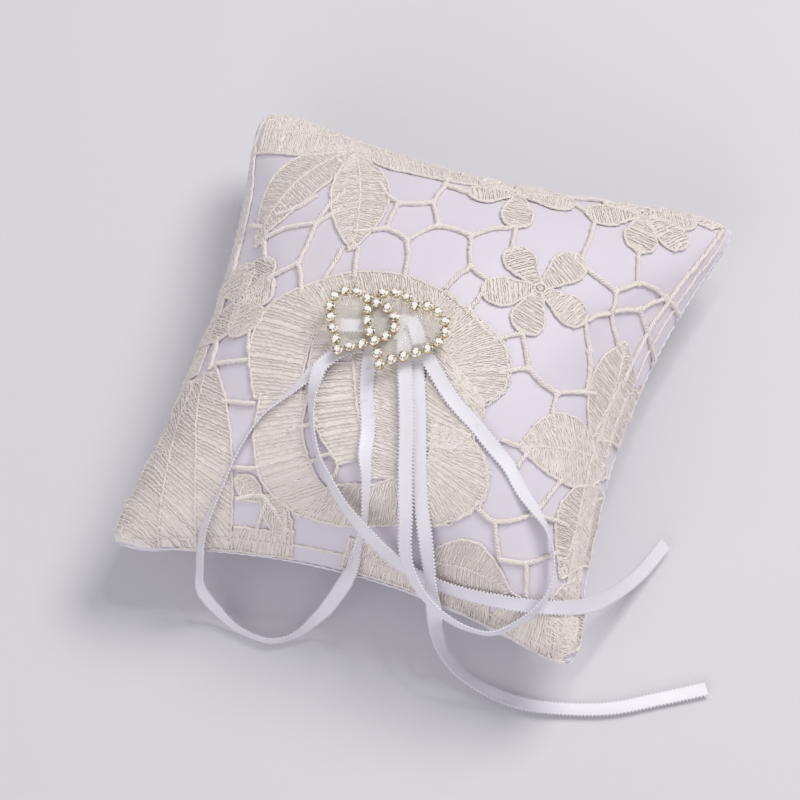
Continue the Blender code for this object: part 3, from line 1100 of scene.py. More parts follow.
@dataclass
class Case:
    """The satin case: two panels puffed by the filling, the filling, and the stitched side seam."""

    form: PillowForm
    start_inset: float = 1.0
    pressure: float = 3.0
    frames: int = 16
    most_travel: float = 1.3
    panel_thickness: float = 0.35
    seam_outset: float = 0.1
    stitch_pitch: float = 2.2
    stitch_points: int = 6
    pucker: float = 0.35
    filling_share: float = 0.93

    def puff(self) -> None:
        """Fills the case by cloth simulation, and keeps the panels' new shape in the form."""
        form = self.form
        upper = form.rest_surface(True, -form.satin_depth)
        lower = form.rest_surface(False, -form.satin_depth)
        shifts = [np.zeros_like(upper), np.zeros_like(lower)]
        shifts = self.simulate(upper, lower)
        form.top = upper + shifts[0]
        form.bottom = lower + shifts[1]
        self.rumple()
        form.settle()

    def simulate(self, upper: Points, lower: Points) -> list[Points]:
        """Runs the cloth on a slightly smaller case.

        Args:
            upper: the top panel's grid.
            lower: the underside's grid.

        Returns:
            How far each grid's points move, capped.
        """
        form = self.form
        count = form.steps + 1
        inward = self.start_inset * MM
        smaller = upper.copy()
        smaller[..., 2] -= inward * form.bulge()
        points = np.concatenate([smaller.reshape(-1, 3), lower.reshape(-1, 3)])
        points += self.uneven(points) * 0.5 * MM
        faces, seam = self.shell()
        casing = mesh_object("case_at_rest", points, faces)
        held = casing.vertex_groups.new(name="held")
        held.add(seam, 1.0, "REPLACE")
        resting = [count * count + k for k, p in enumerate(lower.reshape(-1, 3)) if p[2] < 1.0 * MM]
        held.add(resting, 1.0, "REPLACE")
        cloth = casing.modifiers.new("filling pressure", "CLOTH")
        settings = cloth.settings
        settings.quality = 6
        settings.mass = 0.05
        settings.tension_stiffness = 12.0
        settings.compression_stiffness = 12.0
        settings.shear_stiffness = 4.0
        settings.bending_stiffness = 0.25
        settings.use_pressure = True
        settings.uniform_pressure_force = self.pressure
        settings.shrink_min = -0.02
        settings.effector_weights.gravity = 0.0
        settings.vertex_group_mass = "held"
        cloth.collision_settings.use_collision = False
        cloth.point_cache.frame_start = 1
        cloth.point_cache.frame_end = self.frames
        for step in range(1, self.frames + 1):
            bpy.context.scene.frame_set(step)
        graph = bpy.context.evaluated_depsgraph_get()
        mesh = casing.evaluated_get(graph).to_mesh()
        final = np.empty(len(mesh.vertices) * 3)
        mesh.vertices.foreach_get("co", final)
        casing.evaluated_get(graph).to_mesh_clear()
        bpy.data.objects.remove(casing, do_unlink=True)
        bpy.context.scene.frame_set(1)
        final = final.reshape(-1, 3)
        ends = (final[: count * count].reshape(upper.shape), final[count * count :].reshape(lower.shape))
        moved = [self.capped(end - start) for end, start in zip(ends, (upper, lower))]
        moved[1][..., 2] = np.maximum(moved[1][..., 2], form.floor_gap * MM - lower[..., 2])
        return moved

    def capped(self, shift: Points) -> Points:
        """Limits a movement to the most travel, softly.

        Args:
            shift: the movement of each point.

        Returns:
            The limited movement.
        """
        size = np.linalg.norm(shift, axis=-1, keepdims=True)
        most = self.most_travel * MM
        return shift * most / (most + size + 1e-9)

    def shell(self) -> tuple[list, list[int]]:
        """Finds the faces of both panels' grids, closed by a wall along the seam.

        Returns:
            The faces, and the numbers of the vertices on the seam.
        """
        count = self.form.steps + 1
        rim = self.rim_numbers(count)
        low_rim = [number + count * count for number in rim]
        faces = grid_faces(count, count) + grid_faces(count, count, count * count, flip=True)
        faces += list(zip(rim, low_rim, low_rim[1:] + low_rim[:1], rim[1:] + rim[:1]))
        return faces, rim + low_rim

    @staticmethod
    def rim_numbers(count: int) -> list[int]:
        """Finds the vertices on a square grid's outline, in order.

        Args:
            count: how many vertices a row has.

        Returns:
            Their numbers.
        """
        last = count - 1
        return (
            [i * count for i in range(last)]
            + [last * count + j for j in range(last)]
            + [i * count + last for i in range(last, 0, -1)]
            + list(range(last, 0, -1))
        )

    @staticmethod
    def uneven(points: Points) -> Points:
        """Works out slow waves, the same each run.

        Args:
            points: places, in metres.

        Returns:
            A rise at each, of size about 1.
        """
        waves = np.random.default_rng(8).normal(size=(6, 3)) / (9 * MM)
        phases = np.random.default_rng(9).uniform(0, 2 * math.pi, size=6)
        height = sum(np.sin(points @ w + p) for w, p in zip(waves, phases)) / 3
        return np.stack([np.zeros_like(height), np.zeros_like(height), height], axis=-1)

    def rumple(self) -> None:
        """Adds the puckers by the seam and the dimples that loose filling leaves."""
        form = self.form
        u, v = form.grid()
        bulge = form.bulge()
        for surface, sign in ((form.top, 1.0), (form.bottom, -1.0)):
            places = surface[..., :2] / MM
            along = np.where(np.abs(u) > np.abs(v), places[..., 1], places[..., 0])
            edge = np.minimum(1 - np.abs(u), 1 - np.abs(v))
            near = np.exp(-((edge - 0.05) / 0.06) ** 2) * np.clip(bulge * 4, 0, 1)
            wave = np.sin(along * 0.9) + 0.7 * np.sin(along * 0.53 + 1.3) + 0.5 * np.sin(along * 1.7 + 0.4)
            surface[..., 2] += sign * self.pucker * MM * near * wave / 2
            soft = np.sin(places[..., 0] / 7.0 + 1.0) * np.sin(places[..., 1] / 8.5 + 2.0)
            surface[..., 2] += sign * 0.25 * MM * soft * bulge
        dimples = ((33.0, -1.0, 1.0, 5.0), (15.0, -42.0, 0.5, 7.0), (-22.0, -43.0, 0.6, 8.0))
        for x, y, depth, width in dimples:
            places = form.top[..., :2] / MM
            away = np.hypot(places[..., 0] - x, places[..., 1] - y)
            form.top[..., 2] -= depth * MM * np.exp(-((away / width) ** 2))
        form.bottom[..., 2] = np.maximum(form.bottom[..., 2], 0.05 * MM)

    def panel(self, name: str, surface: Points, upper: bool) -> Object:
        """Builds one panel with its wall, and a subdivision for smoothness.

        Args:
            name: the piece's name.
            surface: grid of its outside.
            upper: whether it is the top panel.

        Returns:
            The piece.
        """
        count = self.form.steps + 1
        surface = surface.copy()
        rim = (self.form.seam_height + (0.1 if upper else -0.1)) * MM
        for row in (surface[0], surface[-1], surface[:, 0], surface[:, -1]):
            row[:, 2] = rim
        faces = grid_faces(count, count, flip=not upper)
        piece = mesh_object(name, surface.reshape(-1, 3), faces, Finish.SATIN.material())
        wall = piece.modifiers.new("cloth", "SOLIDIFY")
        wall.thickness = self.panel_thickness * MM
        wall.offset = -1.0
        finer = piece.modifiers.new("smooth", "SUBSURF")
        finer.levels = finer.render_levels = 1
        done = plain_copy(piece, name)
        done.data.shade_smooth()
        return done

    def filling(self) -> Object:
        """Builds the fibre filling, a soft lump inside the case.

        Returns:
            The piece.
        """
        form = self.form
        middle = np.array([0.0, 0.0, form.seam_height * MM])
        upper = (form.top - middle) * self.filling_share + middle
        lower = (form.bottom - middle) * self.filling_share + middle
        upper[..., 2] -= 0.6 * MM
        lower[..., 2] += 0.6 * MM
        points = np.concatenate([upper.reshape(-1, 3), lower.reshape(-1, 3)])
        return mesh_object("fibre_core", points, self.shell()[0], Finish.FILLING.material())

    def seam_line(self) -> Points:
        """Finds the line of the side seam.

        Returns:
            Its points all round, the last one not the first again, in metres.
        """
        form = self.form
        edge = np.sin(np.linspace(-math.pi / 2, math.pi / 2, 81))[:-1]
        ones = np.ones_like(edge)
        sides = ((edge, -ones), (ones, edge), (-edge, ones), (-ones, -edge))
        outset = self.seam_outset + form.plan_outset
        flat = np.concatenate([form.plan(u, v, outset) for u, v in sides])
        return np.column_stack([flat, np.full(len(flat), form.seam_height)]) * MM

    def seam(self) -> Object:
        """Builds the line of stitches that closes the side seam.

        Returns:
            The piece.
        """
        line = self.seam_line()
        line = np.concatenate([line, line[:1]])
        count = round(length_of(line) / (self.stitch_pitch * MM)) * self.stitch_points
        path = evenly(line, count + 1)[:-1]
        rise = np.abs(np.sin(np.arange(count) * math.pi / self.stitch_points))
        inward = -path[:, :2] / np.linalg.norm(path[:, :2], axis=1, keepdims=True)
        path[:, :2] += inward * (0.25 * MM - 0.22 * MM * rise[:, None])
        edges = [(k, (k + 1) % count) for k in range(count)]
        guide = edge_guide("seam_guide", path, edges, 0.55 + 0.45 * rise)
        values = {"Thread_radius": 0.25 * MM, "Sides": 6, "Unevenness": 0.02 * MM, "Seed": 2}
        return thread_tree().run(guide, "seam_stitches", Finish=Finish.THREAD.material(), **values)

    def build(self) -> list[Object]:
        """Builds and dresses the case's pieces.

        Returns:
            Both panels, the filling and the seam.
        """
        top = self.panel("satin_top", self.form.top, True)
        bottom = self.panel("satin_underside", self.form.bottom, False)
        core = self.filling()
        seam = self.seam()
        for piece, node, slot in (
            (top, "satin_top_panel", "satin"),
            (bottom, "satin_bottom_panel", "satin"),
            (core, "fibre_filling", "filling"),
            (seam, "seam_thread", "thread"),
        ):
            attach(piece, BODY)
            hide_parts(node)
        return [top, bottom, core, seam]


# ---- lace


@dataclass
class Threads:
    """Runs of thread collected in the pillow's plan before they are laid over it as one piece."""

    places: list = field(default_factory=list)
    heights: list = field(default_factory=list)
    edges: list = field(default_factory=list)
    thickness: list = field(default_factory=list)

    def add(self, run: Points, height: Points | float, thickness: Points | float = 1.0) -> None:
        """Adds one run.

        Args:
            run: rows of x, y in millimetres.
            height: above the satin, in millimetres.
            thickness: share of the thread's radius.
        """
        start = len(self.thickness)
        self.places.append(np.asarray(run, float))
        self.heights.append(np.broadcast_to(height, len(run)))
        self.edges.extend((start + k, start + k + 1) for k in range(len(run) - 1))
        self.thickness.extend(np.broadcast_to(thickness, len(run)))

    def guide(self, name: str, form: PillowForm) -> Object:
        """Lays the runs over the pillow.

        Args:
            name: the guide's name.
            form: the pillow's form.

        Returns:
            The runs, one object of loose edges.
        """
        points = form.over(np.concatenate(self.places), np.concatenate(self.heights))
        return edge_guide(name, points, self.edges, self.thickness)


@dataclass
class Patches:
    """Patches of close ground collected in the pillow's plan."""

    places: list = field(default_factory=list)
    heights: list = field(default_factory=list)
    faces: list = field(default_factory=list)
    count: int = 0

    def add(self, places: Points, height: float, faces: list) -> None:
        """Adds a patch.

        Args:
            places: its points' x and y, in millimetres.
            height: above the satin, in millimetres.
            faces: tuples of vertex numbers, counted from the first patch's first point.
        """
        self.places.append(places)
        self.heights.append(np.full(len(places), height))
        self.faces.extend(faces)
        self.count += len(places)


@dataclass(frozen=True)
class Stitching:
    """How a band of lace is filled: satin stitches from one margin to the other."""

    pitch: float = 0.42
    radius: float = 0.18
    slant: float = 1.2
    arch: float = 0.14
    row: float = 2.6
    jitter: float = 0.34
    step: float = 0.55
    wander: float = 0.08


@dataclass
class Lace:
    """The open lace over the top panel: filled bands, margins of cord, flowers and twisted bars."""

    form: PillowForm
    satin: Stitching = Stitching()
    base: float = 0.1
    ground_lift: float = 0.08
    stitch_lift: float = 0.1
    margin_lift: float = 0.22
    bar_lift: float = 0.3
    ground_step: float = 0.7
    fibres: int = 65000
    fibre_length: float = 0.9
    seed: int = 21

    def __post_init__(self) -> None:
        """Starts with nothing drawn."""
        self.random = np.random.default_rng(self.seed)
        self.stitches = {"leaves": Threads(), "rose": Threads(), "flowers": Threads()}
        self.margins = Threads()
        self.bars = Threads()
        self.ground = Patches()

    # -- drawing

    def band(
        self,
        first: list,
        second: list,
        kind: str,
        stitching: Stitching | None = None,
        margins: tuple[bool, bool] = (True, True),
        raised: float = 0.0,
    ) -> None:
        """Fills the strip between two lines with stitches.

        Args:
            first: places of one margin, x and y in millimetres.
            second: places of the other margin, which runs the same way.
            kind: which piece its stitches join.
            stitching: how it is filled.
            margins: whether each line gets a raised cord.
            raised: extra height, in millimetres, where it lies over another band.
        """
        how = stitching or self.satin
        one = smooth_curve(np.array(first, float), 0.5)
        two = smooth_curve(np.array(second, float), 0.5)
        long_side = max(length_of(one), length_of(two))
        count = max(4, round(long_side / how.pitch))
        self.add_ground(one, two, long_side, raised)
        shift = how.slant / max(long_side, 1.0)
        spare = max(0.0, shift / 2 - 0.06)
        middles = np.linspace(-spare, 1 + spare, count + 1)
        middles += self.random.uniform(-how.jitter, how.jitter, count + 1) / count
        starts = self.along(one, middles - shift / 2)
        ends = self.along(two, middles + shift / 2)
        for start, end in zip(starts, ends):
            self.stitch(start, end, kind, how, raised)
        for line, wanted in ((one, margins[0]), (two, margins[1])):
            if wanted:
                self.margin(line, raised)

    @staticmethod
    def along(line: Points, shares: Points) -> Points:
        """Points at shares of a line's length."""
        return at_lengths(line, np.clip(shares, 0, 1) * travelled(line)[-1])

    def stitch(self, start: Points, end: Points, kind: str, how: Stitching, raised: float) -> None:
        """Lays one stitch, broken into rows where it is long.

        Args:
            start: its first place, in millimetres.
            end: its last place, in millimetres.
            kind: which piece it joins.
            how: how the band is filled.
            raised: extra height, in millimetres.
        """
        span = float(np.linalg.norm(end - start))
        if span < 0.5:
            return
        rows = max(1, round(span / how.row))
        pieces = 2 + rows * max(3, round(min(how.row, span) / how.step))
        t = np.linspace(0, 1, pieces)
        flat = start + (end - start) * t[:, None]
        flat[1:-1] += self.random.normal(0, how.wander, flat[1:-1].shape)
        arch = how.arch * np.abs(np.sin(np.pi * rows * t)) ** 0.6
        height = self.base + self.stitch_lift + arch * self.random.uniform(0.8, 1.15) + raised
        thickness = self.random.uniform(0.7, 1.25) * (0.75 + 0.4 * self.random.uniform(0, 1, pieces))
        self.stitches[kind].add(flat, height, thickness)

    def margin(self, line: Points, raised: float = 0.0, thick: float = 1.0) -> None:
        """Lays a bumpy cord.

        Args:
            line: its places, in millimetres.
            raised: extra height, in millimetres.
            thick: share of the cord's full radius.
        """
        path = evenly(line, max(3, round(length_of(line) / self.satin.step)))
        path += self.random.normal(0, 0.07, path.shape)
        self.margins.add(path, self.base + self.margin_lift + raised, thick)

    def add_ground(self, one: Points, two: Points, long_side: float, raised: float) -> None:
        """Adds the close ground under a band.

        Args:
            one: the band's first line, in millimetres.
            two: its second line.
            long_side: the longer line's length.
            raised: extra height, in millimetres.
        """
        rows = max(3, round(long_side / self.ground_step))
        wide = np.linalg.norm(one[len(one) // 2] - two[len(two) // 2])
        columns = max(3, round(wide / self.ground_step)) + 1
        first, second = evenly(one, rows), evenly(two, rows)
        share = np.linspace(0, 1, columns)[None, :, None]
        flat = first[:, None, :] * (1 - share) + second[:, None, :] * share
        start = self.ground.count
        faces = grid_faces(rows, columns, start)
        a, b, c = (flat[0, 0], flat[-1, 0], flat[-1, -1])
        if np.cross(b - a, c - a) < 0:
            faces = [face[::-1] for face in faces]
        self.ground.add(flat.reshape(-1, 2), self.base + self.ground_lift + raised, faces)

    def leaf(self, base: tuple, tip: tuple, width: float, bend: float = 0.0) -> None:
        """Draws a leaf of two bands on both sides of its midrib.

        Args:
            base: place of its stalk.
            tip: place of its tip.
            width: its full width, in millimetres.
            bend: how far its midrib bows to the left, in millimetres.
        """
        base, tip = np.array(base, float), np.array(tip, float)
        along = (tip - base) / np.linalg.norm(tip - base)
        left = np.array([-along[1], along[0]])
        t = np.array([0.0, 0.25, 0.5, 0.75, 1.0])
        rib = base + (tip - base) * t[:, None] + left * (bend * np.sin(np.pi * t))[:, None]
        half = width / 2 * np.array([0.12, 0.8, 1.0, 0.72, 0.05])
        for side in (1.0, -1.0):
            edge = rib + left * (side * half)[:, None]
            self.band(rib, edge, "leaves", margins=(False, True))
        self.margin(smooth_curve(rib, 0.5), raised=-0.1, thick=0.7)

    def flower(self, centre: tuple, tips: list, width: float = 5.4) -> None:
        """Draws a small flower: petals round a raised eye.

        Args:
            centre: its middle, in millimetres.
            tips: the petals' ends.
            width: a petal's full width.
        """
        centre = np.array(centre, float)
        fill = Stitching(pitch=0.46, slant=-0.8, arch=0.25, row=2.6)
        for tip in tips:
            tip = np.array(tip, float)
            along = (tip - centre) / np.linalg.norm(tip - centre)
            left = np.array([-along[1], along[0]])
            t = np.array([0.08, 0.35, 0.66, 0.92, 1.0])
            half = left * (width / 2 * np.array([0.28, 0.62, 1.0, 0.68, 0.05]))[:, None]
            rib = centre + (tip - centre) * t[:, None]
            self.band(rib + half, rib - half, "flowers", fill, raised=0.1)
        turns = np.linspace(0, 2 * math.pi, 13)
        for radius in (0.45, 1.15):
            ring = centre + radius * np.column_stack([np.cos(turns), np.sin(turns)])
            self.margins.add(ring, self.base + 0.5)

    def bar(self, *places: tuple) -> None:
        """A twisted bar through the given places."""
        self.bar_line(smooth_curve(np.array(places, float), 1.0))

    def bar_line(self, line: Points) -> None:
        """A twisted bar along a line."""
        self.bars.add(line, self.base + self.bar_lift)

    # -- the pattern

    def draw(self) -> None:
        """Draws the whole pattern, piece by piece from the back to the front."""
        self.back_leaves()
        self.flowers()
        self.net()
        self.left_motifs()
        self.rose()
        self.right_leaves()
        self.front_motifs()
        self.edging()

    def back_leaves(self) -> None:
        """Three leaves by the back left corner, and the stem along the back."""
        self.leaf((-25.5, 42), (-40.5, 12.5), 11.5, bend=-3.2)
        self.leaf((-26.5, 38.5), (-18.6, 11.5), 12, bend=1.2)
        stem = [(-31, 48), (-18, 47.6), (-5, 48.4), (8, 49)]
        self.band(stem, [(-25.5, 38), (-18, 35.8), (-9, 36.6), (0.5, 39.5), (6, 43)], "leaves")
        corner = [(-50, 51.5), (-40, 50.8), (-28, 48.5)]
        self.band(corner, [(-48.8, 38.5), (-43.5, 36.8), (-37, 36), (-28, 39)], "leaves")

    def flowers(self) -> None:
        """The three small flowers of the open net."""
        self.flower((19.7, 14.6), [(11.5, 21.6), (25.3, 25.9), (9.4, 8.9), (19.3, 3.5), (29.9, 12.1)], 6.6)
        self.flower((8.5, 38.5), [(-1, 34), (11, 27.6), (20, 40.8), (0, 43.5), (11, 47.5)], 6.4)
        self.flower((34, 45), [(23, 38.5), (35.2, 34), (43.5, 40.7), (25, 48), (44, 50)], 6.8)

    def net(self) -> None:
        """Twisted bars between the motifs, in uneven meshes."""
        for run in (
            (
                (-18.5, 30), (-13.3, 25.7), (-6.7, 28.1), (-3.8, 22.1), (-8.5, 16.5),
                (-13.4, 18.4), (-13.3, 25.7),
            ),
            ((-6.7, 28.1), (-6, 34.5), (-0.5, 34)), ((-6, 34.5), (-6.5, 39)),
            ((-3.8, 22.1), (3.2, 21.8), (11, 27.6)), ((3.2, 21.8), (5.5, 14), (2.2, 7)),
            ((5.5, 14), (9.5, 12.2)), ((-8.5, 16.5), (-6.3, 7)), ((-13.4, 18.4), (-19.5, 16)),
            ((-20.5, 12), (-22, 3)), ((-17.5, 12.5), (-16, 5)),
            ((-25, 27), (-28, 17.1), (-28.4, 6.8), (-34, 3.2)), ((-28.4, 6.8), (-25.4, 0)),
            ((-24, 22), (-28, 17.1)), ((-37.5, 19.5), (-34.5, 20.5), (-30.5, 24.5)),
            ((-28, 17.1), (-39.2, 12.8)), ((9.4, 8.9), (7.6, 3)),
            ((7.6, 4.8), (14.8, -0.2), (19.3, 3.5), (22.5, -3), (17.5, -6.4)),
            ((22.5, -3), (29, -5), (34.4, -0.7), (36.5, 0.5)), ((29, -5), (30.9, -12.5)),
            ((21.8, -18.8), (25.8, -18.6)), ((29.9, 12.1), (32.5, 7), (34.4, -0.7)),
            ((29.9, 12.1), (34.6, 17.7), (38, 12.5)),
            ((26, 24), (33.6, 22.4), (37.1, 27), (35.2, 35.1)),
            ((33.6, 22.4), (34.6, 17.7), (39.8, 22.6), (43.5, 29)),
            ((37.1, 27), (43.5, 29), (48.2, 30)), ((39.8, 22.6), (46.4, 17.2)),
            ((25.3, 25.9), (25, 37.5)), ((11, 27.6), (12, 21)), ((20, 40.8), (23, 39)),
            ((17, 44.5), (26, 47)),
        ):
            line = np.array(run, float)
            for a, b in zip(line, line[1:]):
                bow = np.array([a[1] - b[1], b[0] - a[0]]) * self.random.uniform(-0.08, 0.08)
                self.bar(a, (a + b) / 2 + bow, b)
            for knot in line[1:-1]:
                self.knot(knot)

    def knot(self, place: Points) -> None:
        """Adds a small lump where bars meet.

        Args:
            place: its middle, in millimetres.
        """
        turns = np.linspace(0, 2 * math.pi, 8)
        ring = place + 0.38 * np.column_stack([np.cos(turns), np.sin(turns)])
        self.bars.add(ring, self.base + self.bar_lift)

    def left_motifs(self) -> None:
        """The lobed flower on the left side, its bars, and the two leaves of the front left corner."""
        petals = [(-43.5, 8), (-35.5, 8.5), (-31.5, 1.0), (-33.5, -9.5), (-43.5, -9.5)]
        self.flower((-39.3, -0.8), petals, 8.0)
        for run in (
            ((-41, -9), (-39.5, -17.5)), ((-33.5, -9), (-32, -14)), ((-38.5, -16.5), (-31.5, -16)),
            ((-34, -25), (-26.8, -25)), ((-28.5, -37.5), (-23, -36.5)), ((-44, 8), (-45, 15)),
            ((-36, 8), (-38, 13)), ((-46, -7), (-46.5, -18)), ((-44, 19), (-40, 17)),
        ):
            self.bar(*run)
        rows = Stitching(pitch=0.95, radius=0.22, slant=5.0, arch=0.22, row=1.6)
        outer = [(-45.3, -17), (-46.5, -28), (-47.6, -40), (-49.2, -54)]
        divider = [(-42.5, -19), (-43, -29), (-41, -40), (-39.2, -53)]
        rib = [(-40.5, -18), (-38.8, -27), (-35, -39), (-31.7, -52)]
        inner = [(-38.2, -17), (-33.2, -25), (-28.2, -36), (-24.7, -50.8)]
        self.band(outer, divider, "leaves", rows)
        self.band(divider, rib, "leaves", rows, (False, False))
        self.band(rib, inner, "leaves", rows)

    def rose(self) -> None:
        """The big flower: overlapping petals, some of open ladder stitches and some close."""
        ladder = Stitching(pitch=0.9, radius=0.24, slant=0.6, arch=0.2, row=1.5)
        close = Stitching(pitch=0.44, radius=0.19, slant=1.6, arch=0.14, row=2.2)
        petals = (
            (
                [(-26.3, 0.8), (-18.2, 5.6), (-7.4, 7.8), (2.1, 6.5)],
                [(-21, -5), (-14.5, -3), (-5, -2), (3, -2)], close, 0.0,
            ),
            (
                [(-26.5, 1), (-31.5, -4.5), (-31.9, -13.5), (-27.4, -24.2)],
                [(-17.5, -1.1), (-19.3, -6), (-19.8, -13.4), (-18.2, -23)], ladder, 0.05,
            ),
            (
                [(-26.5, -22.8), (-25, -31.5), (-20.8, -38.8), (-12.4, -42.6)],
                [(-17, -20.5), (-15.9, -28.5), (-11.5, -34.8), (-6, -38.4)], ladder, 0.1,
            ),
            (
                [(-18.8, -2), (-19.2, -12), (-17.2, -21), (-13.6, -27.2), (-7, -32.8)],
                [(-11.5, -1), (-11, -10), (-8.7, -17), (-5.8, -23.7), (-1.3, -29.5)], ladder, 0.15,
            ),
            (
                [(-13, -2), (-11.4, -10), (-8.4, -18), (-4.5, -26), (-1.5, -33.5)],
                [(-3, -3), (0, -11), (2.5, -18), (4, -26), (5.5, -32)], close, 0.2,
            ),
            (
                [(-11.6, -42.4), (-4, -42.2), (2, -41), (8, -39.2)],
                [(-8.5, -37), (-3, -34.9), (1, -34), (5.2, -31)], close, 0.05,
            ),
            (
                [(15, -20), (20.2, -24.5), (21.6, -31.2), (16, -36.8), (7.6, -39.4)],
                [(8, -20.5), (9, -24), (9.2, -28), (7.5, -30.5), (4.5, -32.5)], close, 0.1,
            ),
            (
                [(2.1, 6.3), (9.4, 2.8), (16.6, -0.7), (19.4, -8.6), (16.3, -13.8)],
                [(0, -3.5), (4.5, -5), (8, -7.5), (9.5, -10.5), (9, -13.5)], close, 0.12,
            ),
            (
                [(16.2, -12.8), (17, -16), (15.8, -20.5), (13, -24.5)],
                [(3, -4), (4.5, -11), (4.6, -18), (5, -26)], close, 0.2,
            ),
        )
        for outer, inner, how, raised in petals:
            self.band(outer, inner, "rose", how, raised=raised)
        self.scallops([(2.1, 6.3), (9.4, 2.8), (16.6, -0.7), (19.4, -8.6), (16.3, -13.8)], 2.0)
        self.scallops([(16.5, -16), (15.8, -20.5), (20.2, -24.5), (21.6, -31.2), (16, -36.8)], 2.0)
        for a, b in (((-13.5, -26), (-18.5, -29)), ((-9, -31), (-14.5, -34.5)), ((-7, -33), (-8.5, -39))):
            self.bar(a, b)

    def scallops(self, line: list, width: float) -> None:
        """Adds small loops of cord along a margin of the rose.

        Args:
            line: the margin's places, in millimetres.
            width: a loop's width.
        """
        path = smooth_curve(np.array(line, float), 0.4)
        count = round(length_of(path) / width)
        places = evenly(path, count + 1)
        for a, b in zip(places, places[1:]):
            out = np.array([b[1] - a[1], a[0] - b[0]])
            out *= 0.3 if np.dot(out, (a + b) / 2 - np.array([-3.0, -17.0])) > 0 else -0.3
            turns = np.linspace(0, math.pi, 7)[:, None]
            loop = (a + b) / 2 + (a - b) / 2 * np.cos(turns) + out * np.sin(turns)
            self.margins.add(loop, self.base + 0.25)

    def right_leaves(self) -> None:
        """The leaves of the right side, and the band along its seam."""
        self.leaf((42.5, -10), (25.6, -18.8), 13.5)
        self.leaf((38.8, -8), (39.3, 14.5), 10, bend=-0.8)
        self.leaf((43.2, -15), (40.5, -38), 9.5, bend=-1.0)
        self.leaf((44.5, -4), (45, 12), 5.5)

    def front_motifs(self) -> None:
        """What lies along the front: a leaf, bars round open places, and the dense front corner."""
        self.leaf((13.5, -43.6), (31.5, -44), 9.5, bend=0.8)
        self.leaf((44, -52.5), (43.5, -36.5), 8.5)
        self.leaf((-26.5, -38.8), (-20.6, -41.6), 4.2)
        self.leaf((-21, -41), (-13.2, -45.2), 4.4)
        rows = Stitching(pitch=0.8, radius=0.22, slant=0.8, arch=0.2, row=1.8)
        for outer, inner, how in (
            ([(29, -49), (37, -51), (45.5, -53.5)], [(31.5, -44), (37, -45), (42.5, -46.5)], rows),
            (
                [(-3, -47.4), (2, -47.5), (16, -49), (30, -50.3)],
                [(-2, -43.5), (4, -43.5), (14, -45), (28, -46.8)], self.satin,
            ),
            ([(-26, -50), (-18, -48.3), (-12.5, -47.5)], [(-25, -46.7), (-18, -45.6), (-13, -44.8)], rows),
        ):
            self.band(outer, inner, "leaves", how)
        for run in (
            ((21.5, -32.8), (25.1, -33.8), (31.3, -30), (35, -20.5)), ((25.1, -33.8), (28, -39.6)),
            ((28, -39.6), (33.2, -38.5), (38.5, -33.9)), ((33.2, -38.5), (35, -44)),
            ((20.5, -26.5), (21.8, -25.8)), ((26.2, -22.6), (27.5, -18.5)), ((31.3, -30), (39, -28)),
            ((-25.8, -42.5), (-20, -41), (-20.5, -46.5)), ((-20, -41), (-14.2, -44.8)),
            ((-15.5, -42), (-14.5, -46)),
        ):
            self.bar(*run)

    def edging(self) -> None:
        """Cord and narrow bands along the seam, where the lace is caught."""
        form = self.form
        edge = np.linspace(-0.985, 0.985, 90)
        ones = np.full_like(edge, 0.992)
        for u, v in ((edge, -ones), (ones, edge), (edge, ones), (-ones, edge)):
            self.margins.add(form.plan(u, v), self.base + 0.1)
        self.bar_line(form.plan(np.linspace(0.95, 0.965, 40), np.linspace(0.1, 0.96, 40)))
        for outer_u, outer_v, inner_u, inner_v in (
            ((0.985, 0.985), (-0.97, 0.12), (0.925, 0.94), (-0.9, 0.12)),
            ((0.1, 0.97), (0.985, 0.985), (0.1, 0.92), (0.93, 0.93)),
            ((-0.985, -0.985), (-0.3, 0.8), (-0.945, -0.98), (-0.3, 0.79)),
        ):
            outer = form.plan(np.linspace(*outer_u, 12), np.linspace(*outer_v, 12))
            inner = form.plan(np.linspace(*inner_u, 12), np.linspace(*inner_v, 12))
            self.band(outer, inner, "leaves")

    # -- the pieces

    def fuzz(self, threads: list[Object], dress: Material) -> Object:
        """Loose fibres over all the threads.

        Args:
            threads: the thread pieces, which stay as they are.
            dress: the fibres' material.

        Returns:
            The fibres, one piece.
        """
        sources = [link(bpy.data.objects.new("fuzz_source", thread.data.copy())) for thread in threads]
        source = join(sources, "fuzz_source")
        area = sum(polygon.area for polygon in source.data.polygons)
        values = {"Fibre_length": self.fibre_length * MM, "Fibre_radius": 0.06 * MM, "Lean": 1.7, "Seed": 4}
        return fuzz_tree().run(source, "lace_fuzz", Density=self.fibres / area, Finish=dress, **values)

